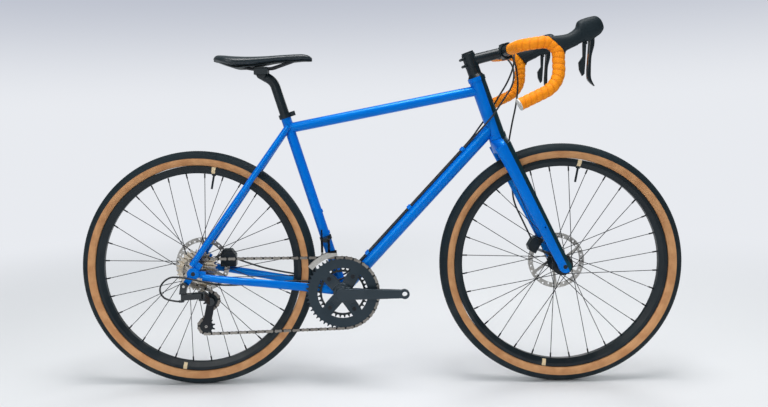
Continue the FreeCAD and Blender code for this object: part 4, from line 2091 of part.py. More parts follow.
def saddle_wire(place, half, top, bottom):
    """Saddle section: a crowned top, rounded sides that draw in below, and a flat underside."""
    deep = top - bottom
    shoulder = top - deep * CROWN_FALL_SHARE
    belly = bottom + deep * SADDLE_BELLY_SHARE * CROWN_FALL_SHARE * 2
    low_right = Vector(place, half * SIDE_PINCH_SHARE, bottom)
    side_right = Vector(place, half, belly)
    top_right = Vector(place, half * SHOULDER_SHARE, shoulder + deep * CROWN_FALL_SHARE / 2)
    crown = Vector(place, 0, top)

    def mirror(point):
        return Vector(point.x, -point.y, point.z)
    edges = [
        Part.LineSegment(mirror(low_right), low_right).toShape(),
        Part.Arc(low_right, side_right, top_right).toShape(),
        Part.Arc(top_right, crown, mirror(top_right)).toShape(),
        Part.Arc(mirror(top_right), mirror(side_right), mirror(low_right)).toShape(),
    ]
    return Part.Wire(edges)


def build_saddle():
    """Saddle: padded cover with its crown, over a thin shell that the rails plug into."""
    rows = list(zip(SADDLE_RUN_SHARES, SADDLE_WIDE_SHARES, SADDLE_TOP_SHARES, SADDLE_DEEP_SHARES))
    cover_wires = []
    shell_wires = []
    for row in rows:
        place, half, top, bottom = saddle_section(*row)
        cover_wires.append(saddle_wire(place, half, top, bottom))
        inset = half * SIDE_PINCH_SHARE * SHELL_INSET_SHARE
        lower = bottom - size.clear_gap
        corners = [Vector(place, -inset, lower), Vector(place, inset, lower),
                   Vector(place, inset, lower - size.shell_skin), Vector(place, -inset, lower - size.shell_skin)]
        shell_wires.append(wire_of(corners))
    cover = Part.makeLoft(cover_wires, True, False)
    shell = Part.makeLoft(shell_wires, True, False)
    rails = nodes["saddle_rails"].Shape
    keep("saddle_cover", shaped("padded_cover", largest(cover.cut(rails))))
    keep("saddle_shell", shaped("saddle_base", largest(shell.cut(rails))))


def check_document():
    """Stops if any object failed to build or any sub-part has no valid solid."""
    doc.recompute()
    for item in doc.Objects:
        if "Invalid" in item.State or "Error" in item.State:
            raise RuntimeError(f"{item.Label} failed: {item.State}")
    for label, item in nodes.items():
        shape = item.Shape
        if shape.isNull() or not shape.isValid() or not shape.Solids:
            raise RuntimeError(f"{label} has no valid solid")


def write_parts():
    """Writes each sub-part to its own file."""
    os.makedirs("parts", exist_ok=True)
    for label, item in nodes.items():
        item.Shape.exportStep(f"parts/{label}.step")
        print(label, len(item.Shape.Solids), "solids", round(item.Shape.Volume / 1000, 1), "cm3")


build_head_tube()
build_bracket_shell()
build_main_tubes()
build_rear_triangle()
build_seat_collar()
build_bearings()
keep("rear_thru_axle", thru_axle("rear_axle", at.rear_axle, size.rear_hub_half, size.dropout_thick + size.hanger_thick))
keep("front_thru_axle", thru_axle("front_axle", at.front_axle, size.front_hub_half, size.fork_end_thick))
build_wheel("rear", at.rear_axle, size.rear_hub_half, size.rear_flange_left, size.rear_flange_right, True)
build_wheel("front", at.front_axle, size.front_hub_half, size.front_flange_left, size.front_flange_right, False)
build_fork()
build_headset_stack()
build_stem()
build_handlebar()
build_levers()
build_chain()
build_cranks()
build_cassette()
build_pulleys()
build_rear_derailleur()
build_front_derailleur()
build_calipers()
build_cables()
build_seatpost()
build_saddle()
check_document()
write_parts()
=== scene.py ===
"""Looks of a drop-bar gravel bicycle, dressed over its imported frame."""
import json
import logging
import math
from dataclasses import dataclass, field
from enum import Enum
from itertools import product
from typing import Sequence, Union

import bmesh
import bpy
from mathutils import Matrix, Vector
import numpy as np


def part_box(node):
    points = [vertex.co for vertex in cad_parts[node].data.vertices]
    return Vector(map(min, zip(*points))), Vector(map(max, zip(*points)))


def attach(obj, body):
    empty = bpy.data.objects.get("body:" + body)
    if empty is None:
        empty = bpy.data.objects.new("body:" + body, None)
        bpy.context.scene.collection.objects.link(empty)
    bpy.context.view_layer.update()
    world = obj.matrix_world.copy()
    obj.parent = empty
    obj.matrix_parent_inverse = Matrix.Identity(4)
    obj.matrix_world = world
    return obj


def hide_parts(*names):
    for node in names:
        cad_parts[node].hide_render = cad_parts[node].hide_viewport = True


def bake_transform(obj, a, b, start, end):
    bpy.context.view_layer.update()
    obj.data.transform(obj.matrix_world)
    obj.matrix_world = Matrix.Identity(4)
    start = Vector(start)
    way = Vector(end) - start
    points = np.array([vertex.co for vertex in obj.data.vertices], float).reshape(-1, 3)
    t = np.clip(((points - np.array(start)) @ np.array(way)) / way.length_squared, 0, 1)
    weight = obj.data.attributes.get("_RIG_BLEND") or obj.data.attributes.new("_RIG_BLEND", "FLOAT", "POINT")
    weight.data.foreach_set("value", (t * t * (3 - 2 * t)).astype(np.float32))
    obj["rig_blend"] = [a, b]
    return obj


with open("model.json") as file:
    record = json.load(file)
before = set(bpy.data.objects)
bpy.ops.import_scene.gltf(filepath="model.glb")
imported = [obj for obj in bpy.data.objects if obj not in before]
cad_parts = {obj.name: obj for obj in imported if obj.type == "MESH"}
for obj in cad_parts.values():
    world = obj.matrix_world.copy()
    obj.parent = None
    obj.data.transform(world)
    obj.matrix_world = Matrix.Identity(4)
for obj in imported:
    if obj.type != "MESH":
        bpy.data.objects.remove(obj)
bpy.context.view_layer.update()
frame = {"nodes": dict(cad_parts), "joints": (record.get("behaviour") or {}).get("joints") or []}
LOG = logging.getLogger("gravel_bicycle")

MM = 0.001
FULL_TURN = 2 * math.pi
LEFT = Vector((0, 1, 0))
SIDES = {"left": 1, "right": -1}
PHOTO_WIDTH = 768
PHOTO_HEIGHT = 407

Colour = tuple[float, float, float]
Place = tuple[float, float, float]
Shares = tuple[float, ...]
Spots = tuple[tuple[float, float], ...]
Rows = list[list[Vector]]
Faces = list[list[int]]
Socket = bpy.types.NodeSocket
Value = Union[float, Socket]
Tint = Union[Colour, Socket]


class Copies(Enum):
    """Which repeated form a copying tree makes."""

    ROUND_AXLE = "round_axle"
    OVER_SKIN = "over_skin"


class Panel(Enum):
    """Where the paint turns black: the edge line as two (x, z) points in metres, black ahead of it."""

    NONE = None
    HEAD = ((0.2938, 0.8677), (0.3473, 0.7037))
    FORK = ((0.3473, 0.7037), (0.4468, 0.4949))


def joint_place(name: str) -> Vector:
    """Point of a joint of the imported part, in metres."""
    return Vector(next(joint["pos_m"] for joint in frame["joints"] if joint["name"] == name))


def new_object(name: str, data: bpy.types.ID) -> bpy.types.Object:
    """Object at the origin, linked to the scene.

    Args:
        name: The object's name.
        data: The mesh, curve, lamp or lens that it shows.

    Returns:
        The new object.
    """
    item = bpy.data.objects.new(name, data)
    bpy.context.scene.collection.objects.link(item)
    return item


def mesh_piece(name: str, points: Sequence[Vector], faces: Sequence[Sequence[int]]) -> bpy.types.Object:
    """Smooth-shaded piece from points and faces, with its faces turned outwards.

    Args:
        name: The piece's name.
        points: Its corners, in metres.
        faces: Corner numbers of each face.

    Returns:
        The new object.
    """
    mesh = bpy.data.meshes.new(name)
    mesh.from_pydata([tuple(point) for point in points], [], [tuple(face) for face in faces])
    work = bmesh.new()
    work.from_mesh(mesh)
    bmesh.ops.recalc_face_normals(work, faces=work.faces)
    work.to_mesh(mesh)
    work.free()
    mesh.shade_smooth()
    return new_object(name, mesh)


def skin_rows(rows: Rows, closed: bool = False) -> tuple[list[Vector], Faces]:
    """Skin over rings of points: each ring joins the next, and open ends get a cap.

    Args:
        rows: Rings with the same number of points.
        closed: Whether the last ring joins the first.

    Returns:
        The points and the faces.
    """
    count = len(rows[0])
    points = [point for row in rows for point in row]
    faces = []
    last = len(rows) if closed else len(rows) - 1
    for number in range(last):
        here = number * count
        there = (number + 1) % len(rows) * count
        for step in range(count):
            ahead = (step + 1) % count
            faces.append([here + step, here + ahead, there + ahead, there + step])
    if not closed:
        for start in (0, (len(rows) - 1) * count):
            ring = points[start:start + count]
            points.append(sum(ring, Vector()) / count)
            hub = len(points) - 1
            faces += [[start + step, start + (step + 1) % count, hub] for step in range(count)]
    return points, faces


def sweep_axes(line: Sequence[Vector]) -> list[tuple[Vector, Vector]]:
    """Steady axes along a line, turned as little as possible from point to point.

    Args:
        line: Points of the line.

    Returns:
        For each point two directions square to the line and to each other.
    """
    axes = []
    side = None
    for number in range(len(line)):
        before = line[max(number - 1, 0)]
        after = line[min(number + 1, len(line) - 1)]
        tangent = (after - before).normalized()
        guess = side if side is not None else tangent.orthogonal()
        side = (guess - tangent * guess.dot(tangent)).normalized()
        axes.append((side, tangent.cross(side)))
    return axes


def round_turns(count: int) -> list[float]:
    """Evenly spaced turns of one full round."""
    return [FULL_TURN * step / count for step in range(count)]


def swept(line: Sequence[Vector], radius: float, count: int) -> Rows:
    """Rings of one radius round a line.

    Args:
        line: Points of the middle line.
        radius: Radius of each ring.
        count: Points in a ring.

    Returns:
        The rings.
    """
    rows = []
    for point, (side, over) in zip(line, sweep_axes(line)):
        aways = [side * math.cos(turn) + over * math.sin(turn) for turn in round_turns(count)]
        rows.append([point + away * radius for away in aways])
    return rows


def rounded_line(points: Sequence[Vector], bends: Sequence[float], step: float) -> list[Vector]:
    """Points along straight runs joined by arcs.

    Args:
        points: Corners of the line.
        bends: Arc radius at each inner corner.
        step: Spacing of the points.

    Returns:
        Evenly spaced points from end to end.
    """
    rough = [points[0]]
    for before, corner, after, bend in zip(points, points[1:], points[2:], bends):
        back = (before - corner).normalized()
        ahead = (after - corner).normalized()
        half = (math.pi - back.angle(ahead)) / 2
        middle = corner + (back + ahead).normalized() * (bend / math.cos(half))
        start = corner + back * (bend * math.tan(half)) - middle
        axis = start.cross(-back).normalized()
        arcs = max(int(2 * half * bend / step), 2)
        turns = [2 * half * share / arcs for share in range(arcs + 1)]
        rough += [middle + Matrix.Rotation(turn, 3, axis) @ start for turn in turns]
    rough.append(points[-1])
    line = []
    for first, second in zip(rough, rough[1:]):
        pieces = max(round((second - first).length / step), 1)
        line += [first.lerp(second, share / pieces) for share in range(pieces)]
    return line + [rough[-1]]


def eased(values: Sequence[float], place: float) -> float:
    """Smooth curve through evenly spaced values.

    Args:
        values: The values in order.
        place: Place among them, from 0 to one less than their count.

    Returns:
        The value there.
    """
    last = len(values) - 1
    start = min(int(place), last - 1)
    share = place - start
    before, first, second, after = (values[min(max(start + shift, 0), last)] for shift in (-1, 0, 1, 2))
    bow = 2 * before - 5 * first + 4 * second - after
    twist = 3 * (first - second) + after - before
    return first + share / 2 * (second - before + share * (bow + share * twist))


def bowed(value: float, power: float) -> float:
    """Power of a value that keeps the value's sign."""
    return math.copysign(abs(value) ** power, value)


class Board:
    """Short-hand for adding and linking nodes in one tree."""

    def __init__(self, tree: bpy.types.NodeTree) -> None:
        """Works on the given tree."""
        self.tree = tree

    def link(self, start: Socket, end: Socket) -> None:
        """Links an output to an input."""
        self.tree.links.new(start, end)

    def add(self, kind: str, inputs: dict | None = None, **settings: object) -> bpy.types.Node:
        """New node.

        Args:
            kind: The node's type name.
            inputs: Values or sockets for its inputs, by name or number; None leaves an input as it is.
            settings: Attributes of the node.

        Returns:
            The node.
        """
        node = self.tree.nodes.new(kind)
        for name, value in settings.items():
            setattr(node, name, value)
        for key, value in (inputs or {}).items():
            if isinstance(value, Socket):
                self.link(value, node.inputs[key])
            elif value is not None:
                node.inputs[key].default_value = value
        return node

    def sum(self, operation: str, first: Value, second: Value = 0.0, third: Value = 0.0) -> Socket:
        """Output of a Math node on values or sockets."""
        return self.add("ShaderNodeMath", {0: first, 1: second, 2: third}, operation=operation).outputs[0]

    def vector(self, operation: str, first: Socket, second: Socket) -> Socket:
        """Vector output of a Vector Math node."""
        return self.add("ShaderNodeVectorMath", {0: first, 1: second}, operation=operation).outputs[0]

    def parts(self, place: Socket) -> Sequence[Socket]:
        """X, Y and Z of a vector."""
        return self.add("ShaderNodeSeparateXYZ", {0: place}).outputs

    def noise(self, place: Socket, scale: Value, detail: float) -> Socket:
        """Value of a Noise Texture."""
        return self.add("ShaderNodeTexNoise", {"Vector": place, "Scale": scale, "Detail": detail}).outputs[0]

    def ramp(self, value: Socket, low: float, high: float, start: float = 0.0, end: float = 1.0) -> Socket:
        """Smooth step of a value between two marks."""
        inputs = {"Value": value, "From Min": low, "From Max": high, "To Min": start, "To Max": end}
        return self.add("ShaderNodeMapRange", inputs, interpolation_type="SMOOTHSTEP").outputs[0]

    def blend(self, share: Socket, first: Tint, second: Tint) -> Socket:
        """Mix of two colours, from the first at share 0 to the second at share 1."""
        ends = [end if isinstance(end, Socket) else (*end, 1) for end in (first, second)]
        return self.add("ShaderNodeMix", {0: share, 6: ends[0], 7: ends[1]}, data_type="RGBA").outputs[2]

    def group(self, tree: bpy.types.NodeTree, inputs: dict) -> Sequence[Socket]:
        """Outputs of a shared effect placed in this tree with its own values."""
        return self.add("ShaderNodeGroup", inputs, node_tree=tree).outputs


def shared_effect(
    name: str, inputs: dict[str, tuple], outputs: Sequence[str],
) -> tuple[Board, dict[str, Socket], dict[str, Socket]]:
    """Empty shader group with named sockets.

    Args:
        name: The group's name.
        inputs: Socket type and first value of each input.
        outputs: Names of its float outputs.

    Returns:
        The board of the group, its input sockets and its output sockets.
    """
    tree = bpy.data.node_groups.new(name, "ShaderNodeTree")
    for label, (kind, value) in inputs.items():
        socket = tree.interface.new_socket(label, in_out="INPUT", socket_type=f"NodeSocket{kind}")
        socket.default_value = value
    for label in outputs:
        tree.interface.new_socket(label, in_out="OUTPUT", socket_type="NodeSocketFloat")
    board = Board(tree)
    enter = board.add("NodeGroupInput").outputs
    leave = board.add("NodeGroupOutput").inputs
    return board, {label: enter[label] for label in inputs}, {label: leave[label] for label in outputs}


class Effects:
    """Shader groups that several finishes share, each built once."""

    vector_input: tuple[str, Place] = ("Vector", (0, 0, 0))
    cloud_detail: float = 3.0
    grain_detail: float = 2.0
    patch_scale: float = 26.0
    patch_detail: float = 5.0
    patch_marks: tuple[float, float] = (0.42, 0.72)

    def __init__(self) -> None:
        """Builds the three groups."""
        self.skin = self.build_skin()
        self.wheel = self.build_wheel()
        self.dust = self.build_dust()

    def build_skin(self) -> bpy.types.NodeTree:
        """Broad clouds and fine grain, with the grain drawn out along a stretch.

        Returns:
            The group.
        """
        inputs = {"Vector": self.vector_input, "Cloud Scale": ("Float", 9.0), "Grain Scale": ("Float", 900.0),
                  "Stretch": ("Vector", (1, 1, 1))}
        board, enter, leave = shared_effect("surface_skin", inputs, ("Cloud", "Grain"))
        drawn = board.vector("MULTIPLY", enter["Vector"], enter["Stretch"])
        board.link(board.noise(enter["Vector"], enter["Cloud Scale"], self.cloud_detail), leave["Cloud"])
        board.link(board.noise(drawn, enter["Grain Scale"], self.grain_detail), leave["Grain"])
        return board.tree

    def build_wheel(self) -> bpy.types.NodeTree:
        """Radius and turn about an axle along Y.

        Returns:
            The group.
        """
        inputs = {"Vector": self.vector_input, "Axle": self.vector_input}
        board, enter, leave = shared_effect("wheel_place", inputs, ("Radius", "Turn"))
        ahead, _, rise = board.parts(board.vector("SUBTRACT", enter["Vector"], enter["Axle"]))
        square = board.sum("MULTIPLY_ADD", ahead, ahead, board.sum("MULTIPLY", rise, rise))
        board.link(board.sum("SQRT", square), leave["Radius"])
        board.link(board.sum("ARCTAN2", rise, ahead), leave["Turn"])
        return board.tree

    def build_dust(self) -> bpy.types.NodeTree:
        """Mask of dry dust: patchy, thicker close to the ground.

        Returns:
            The group.
        """
        inputs = {"Vector": self.vector_input, "Reach": ("Float", 0.7)}
        board, enter, leave = shared_effect("road_dust", inputs, ("Mask",))
        height = board.parts(enter["Vector"])[2]
        low = board.sum("SUBTRACT", 1.0, board.sum("DIVIDE", height, enter["Reach"]))
        patch = board.noise(enter["Vector"], self.patch_scale, self.patch_detail)
        mask = board.sum("MULTIPLY", board.ramp(low, 0.0, 1.0), board.ramp(patch, *self.patch_marks))
        board.link(mask, leave["Mask"])
        return board.tree


EFFECTS = Effects()
DUST_COLOUR: Colour = (0.38, 0.34, 0.29)
CLOUD_MARKS = (0.35, 0.65)
GRAIN_MARKS = (0.3, 0.7)
COAT_ROUGHNESS = 0.06


@dataclass(frozen=True)
class Finish:
    """A surface: its colour and how it varies, shines and feels.

    Args:
        name: The material's name.
        colour: Its own colour.
        cloud_colour: What it shifts to in broad clouds.
        roughness: Least and greatest roughness over the grain.
        metallic: Metal share.
        coat: Clear coat weight.
        sheen: Sheen weight.
        specular: Specular level.
        glint: Tint of the specular light.
        grain_scale: How fine the grain is.
        grain_height: Bump of the grain, in metres.
        stretch: How the grain is drawn out.
        dust: Greatest share of dust.
    """

    name: str
    colour: Colour
    cloud_colour: Colour
    roughness: tuple[float, float]
    metallic: float = 0.0
    coat: float = 0.0
    sheen: float = 0.0
    specular: float = 0.5
    glint: Colour = (1.0, 1.0, 1.0)
    grain_scale: float = 900.0
    grain_height: float = 0.00002
    stretch: Place = (1.0, 1.0, 1.0)
    dust: float = 0.0

    def paint(self, board: Board, place: Socket, base: Socket) -> Socket:
        """Colour over the surface; finishes with a pattern change it here."""
        return base

    def relief(self, board: Board, place: Socket, grain: Socket) -> Socket:
        """Height over the surface, in metres."""
        return board.sum("MULTIPLY", grain, self.grain_height)

    def wear(self, board: Board, place: Socket, roughness: Socket) -> Socket:
        """Roughness over the surface."""
        return roughness

    def make(self) -> bpy.types.Material:
        """Builds the material.

        Returns:
            The finished material.
        """
        material = bpy.data.materials.new(self.name)
        material.use_nodes = True
        material.diffuse_color = (*self.colour, 1)
        board = Board(material.node_tree)
        shader = material.node_tree.nodes["Principled BSDF"].inputs
        place = board.add("ShaderNodeTexCoord").outputs["Object"]
        skin = board.group(EFFECTS.skin, {
            "Vector": place, "Grain Scale": self.grain_scale, "Stretch": self.stretch})
        cloud = board.ramp(skin["Cloud"], *CLOUD_MARKS)
        base = self.paint(board, place, board.blend(cloud, self.colour, self.cloud_colour))
        if self.dust:
            mask = board.group(EFFECTS.dust, {"Vector": place})["Mask"]
            base = board.blend(board.sum("MULTIPLY", mask, self.dust), base, DUST_COLOUR)
        rough = board.ramp(skin["Grain"], *GRAIN_MARKS, *self.roughness)
        height = self.relief(board, place, skin["Grain"])
        bump = board.add("ShaderNodeBump", {"Strength": 1.0, "Distance": 1.0, "Height": height})
        board.link(base, shader["Base Color"])
        board.link(self.wear(board, place, rough), shader["Roughness"])
        board.link(bump.outputs[0], shader["Normal"])
        shader["Metallic"].default_value = self.metallic
        shader["Coat Weight"].default_value = self.coat
        shader["Coat Roughness"].default_value = COAT_ROUGHNESS
        shader["Sheen Weight"].default_value = self.sheen
        shader["Specular IOR Level"].default_value = self.specular
        shader["Specular Tint"].default_value = (*self.glint, 1)
        return material


@dataclass(frozen=True)
class PaintFinish(Finish):
    """Gloss paint, black ahead of a panel's edge where it has one."""

    panel: Panel = Panel.NONE
    panel_colour: Colour = (0.006, 0.008, 0.011)
    edge_blur: float = 0.8 * MM

    def paint(self, board: Board, place: Socket, base: Socket) -> Socket:
        """Blue with a black front panel.

        Args:
            board: The material's board.
            place: Object coordinates.
            base: The plain colour.

        Returns:
            The colour with its panel.
        """
        if self.panel is Panel.NONE:
            return base
        (first_x, first_z), (second_x, second_z) = self.panel.value
        slope = (second_x - first_x) / (second_z - first_z)
        across, _, height = board.parts(place)
        lean = board.sum("MULTIPLY", board.sum("SUBTRACT", height, first_z), slope)
        edge = board.sum("ADD", first_x, lean)
        ahead = board.ramp(board.sum("SUBTRACT", across, edge), -self.edge_blur, self.edge_blur)
        return board.blend(ahead, base, self.panel_colour)


@dataclass(frozen=True)
class TyreFinish(Finish):
    """Tyre rubber: black tread cap over a tan woven sidewall."""

    axle: Place = (0, 0, 0)
    tan: Colour = (0.56, 0.285, 0.125)
    tan_shade: Colour = (0.44, 0.20, 0.080)
    tan_scale: float = 34.0
    tan_detail: float = 4.0
    tan_marks: tuple[float, float] = (0.35, 0.7)
    cap_radius: float = 318.2 * MM
    cap_blur: float = 0.4 * MM
    thread_count: float = 1500.0
    thread_marks: tuple[float, float] = (-1.6, 1.6)
    thread_shade: float = 0.16
    thread_height: float = 0.04 * MM

    def radius(self, board: Board, place: Socket) -> Socket:
        """Distance from the axle."""
        return board.group(EFFECTS.wheel, {"Vector": place, "Axle": self.axle})["Radius"]

    def threads(self, board: Board, place: Socket) -> Socket:
        """Crossed casing threads.

        Args:
            board: The material's board.
            place: Object coordinates.

        Returns:
            A value from 0 between the threads to 1 on them.
        """
        wheel = board.group(EFFECTS.wheel, {"Vector": place, "Axle": self.axle})
        turn = board.sum("MULTIPLY", wheel["Turn"], self.thread_count / FULL_TURN * 2)
        rise = board.sum("MULTIPLY", wheel["Radius"], self.thread_count)
        first = board.sum("SINE", board.sum("ADD", turn, rise))
        second = board.sum("SINE", board.sum("SUBTRACT", turn, rise))
        return board.ramp(board.sum("ADD", first, second), *self.thread_marks)

    def paint(self, board: Board, place: Socket, base: Socket) -> Socket:
        """Tan sidewall under the tread cap.

        Args:
            board: The material's board.
            place: Object coordinates.
            base: Colour of the tread cap.

        Returns:
            The colour of the whole tyre.
        """
        cloud = board.noise(place, self.tan_scale, self.tan_detail)
        tan = board.blend(board.ramp(cloud, *self.tan_marks), self.tan, self.tan_shade)
        weave = board.sum("MULTIPLY", self.threads(board, place), self.thread_shade)
        tan = board.blend(weave, tan, self.tan_shade)
        low, high = self.cap_radius - self.cap_blur, self.cap_radius + self.cap_blur
        return board.blend(board.ramp(self.radius(board, place), low, high), tan, base)

    def relief(self, board: Board, place: Socket, grain: Socket) -> Socket:
        """Casing threads and grain together."""
        weave = board.sum("MULTIPLY", self.threads(board, place), self.thread_height)
        return board.sum("ADD", weave, board.sum("MULTIPLY", grain, self.grain_height))


@dataclass(frozen=True)
class RimFinish(Finish):
    """Satin rim with plain cream patches."""

    axle: Place = (0, 0, 0)
    patch: Colour = (0.72, 0.56, 0.34)
    patch_turns: tuple[float, ...] = (1.385, -1.735)
    patch_half: float = 0.019
    patch_full_share: float = 0.94
    patch_from: float = 279 * MM
    patch_blur: float = MM

    def paint(self, board: Board, place: Socket, base: Socket) -> Socket:
        """Black with a cream patch at each marked turn.

        Args:
            board: The material's board.
            place: Object coordinates.
            base: Colour of the rim.

        Returns:
            The colour with its patches.
        """
        wheel = board.group(EFFECTS.wheel, {"Vector": place, "Axle": self.axle})
        ring = board.ramp(wheel["Radius"], self.patch_from - self.patch_blur, self.patch_from)
        for mark in self.patch_turns:
            gap = board.sum("ABSOLUTE", board.sum("SUBTRACT", wheel["Turn"], mark))
            inside = board.ramp(gap, self.patch_half, self.patch_half * self.patch_full_share)
            base = board.blend(board.sum("MULTIPLY", inside, ring), base, self.patch)
        return base


@dataclass(frozen=True)
class TurnedFinish(Finish):
    """Metal brushed or turned in rings about an axle."""

    axle: Place = (0, 0, 0)
    ring_scale: float = 2600.0
    ring_detail: float = 2.0

    def rings(self, board: Board, place: Socket) -> Socket:
        """Uneven rings.

        Args:
            board: The material's board.
            place: Object coordinates.

        Returns:
            A value from 0 to 1 that changes only with the distance from the axle.
        """
        radius = board.group(EFFECTS.wheel, {"Vector": place, "Axle": self.axle})["Radius"]
        flat = board.add("ShaderNodeCombineXYZ", {0: radius}).outputs[0]
        return board.noise(flat, self.ring_scale, self.ring_detail)

    def wear(self, board: Board, place: Socket, roughness: Socket) -> Socket:
        """Roughness that changes from ring to ring."""
        return board.ramp(self.rings(board, place), *GRAIN_MARKS, *self.roughness)

    def relief(self, board: Board, place: Socket, grain: Socket) -> Socket:
        """Fine grooves."""
        return board.sum("MULTIPLY", self.rings(board, place), self.grain_height)


@dataclass(frozen=True)
class ChainFinish(Finish):
    """Roller chain: bright outer plates over dark inner links."""

    middle: float = -46 * MM
    outer_from: float = 1.78 * MM
    edge_blur: float = 0.02 * MM
    inner_colour: Colour = (0.030, 0.029, 0.028)

    def paint(self, board: Board, place: Socket, base: Socket) -> Socket:
        """Dark wherever the surface lies between the outer plates.

        Args:
            board: The material's board.
            place: Object coordinates.
            base: Colour of the outer plates.

        Returns:
            The colour of the whole chain.
        """
        away = board.sum("ABSOLUTE", board.sum("SUBTRACT", board.parts(place)[1], self.middle))
        outside = board.ramp(away, self.outer_from - self.edge_blur, self.outer_from)
        return board.blend(outside, self.inner_colour, base)


@dataclass(frozen=True)
class LevelFinish(Finish):
    """Two colours that meet at a level."""

    level: float = 386 * MM
    edge_blur: float = MM
    upper_colour: Colour = (0.012, 0.013, 0.015)

    def paint(self, board: Board, place: Socket, base: Socket) -> Socket:
        """The upper colour above the level."""
        above = board.ramp(board.parts(place)[2], self.level - self.edge_blur, self.level + self.edge_blur)
        return board.blend(above, base, self.upper_colour)


@dataclass(frozen=True)
class PoredFinish(Finish):
    """Leather or moulded skin: small cells with creases between them."""

    cell_scale: float = 700.0
    cell_height: float = 0.12 * MM

    def relief(self, board: Board, place: Socket, grain: Socket) -> Socket:
        """Cells over fine grain.

        Args:
            board: The material's board.
            place: Object coordinates.
            grain: The fine grain.

        Returns:
            Height over the surface, in metres.
        """
        cell = board.add("ShaderNodeTexVoronoi", {"Vector": place, "Scale": self.cell_scale})
        pore = board.sum("MULTIPLY", cell.outputs["Distance"], -self.cell_height)
        return board.sum("ADD", pore, board.sum("MULTIPLY", grain, self.grain_height))


@dataclass(frozen=True)
class TapeFinish(PoredFinish):
    """Padded bar tape with painted shade in its creases, from its own map of them."""

    painted_crease_shade: Colour = (0.66, 0.16, 0.004)
    crease_marks: tuple[float, float] = (0.15, 1.0)
    painted_shade_share: float = 0.6

    def paint(self, board: Board, place: Socket, base: Socket) -> Socket:
        """Orange with painted shade where one winding dips under the next."""
        # Painted shade: the crease value blends the orange toward the shade colour in the dips between
        # windings.
        crease = board.add("ShaderNodeAttribute", attribute_name="crease").outputs["Fac"]
        return board.blend(board.ramp(crease, *self.crease_marks, 0.0, self.painted_shade_share), base, self.painted_crease_shade)


BLUE: Colour = (0.0, 0.124, 0.61)
BLUE_SHADE: Colour = (0.0, 0.110, 0.56)
BLUE_GLINT: Colour = (0.0, 0.72, 1.0)
INK: Colour = (0.002, 0.007, 0.011)
INK_SHADE: Colour = (0.003, 0.010, 0.015)
SILVER: Colour = (0.62, 0.60, 0.57)
SILVER_SHADE: Colour = (0.52, 0.50, 0.47)
GOLD: Colour = (0.66, 0.56, 0.42)
ROTOR: Colour = (0.40, 0.39, 0.38)
SLATE: Colour = (0.020, 0.034, 0.046)


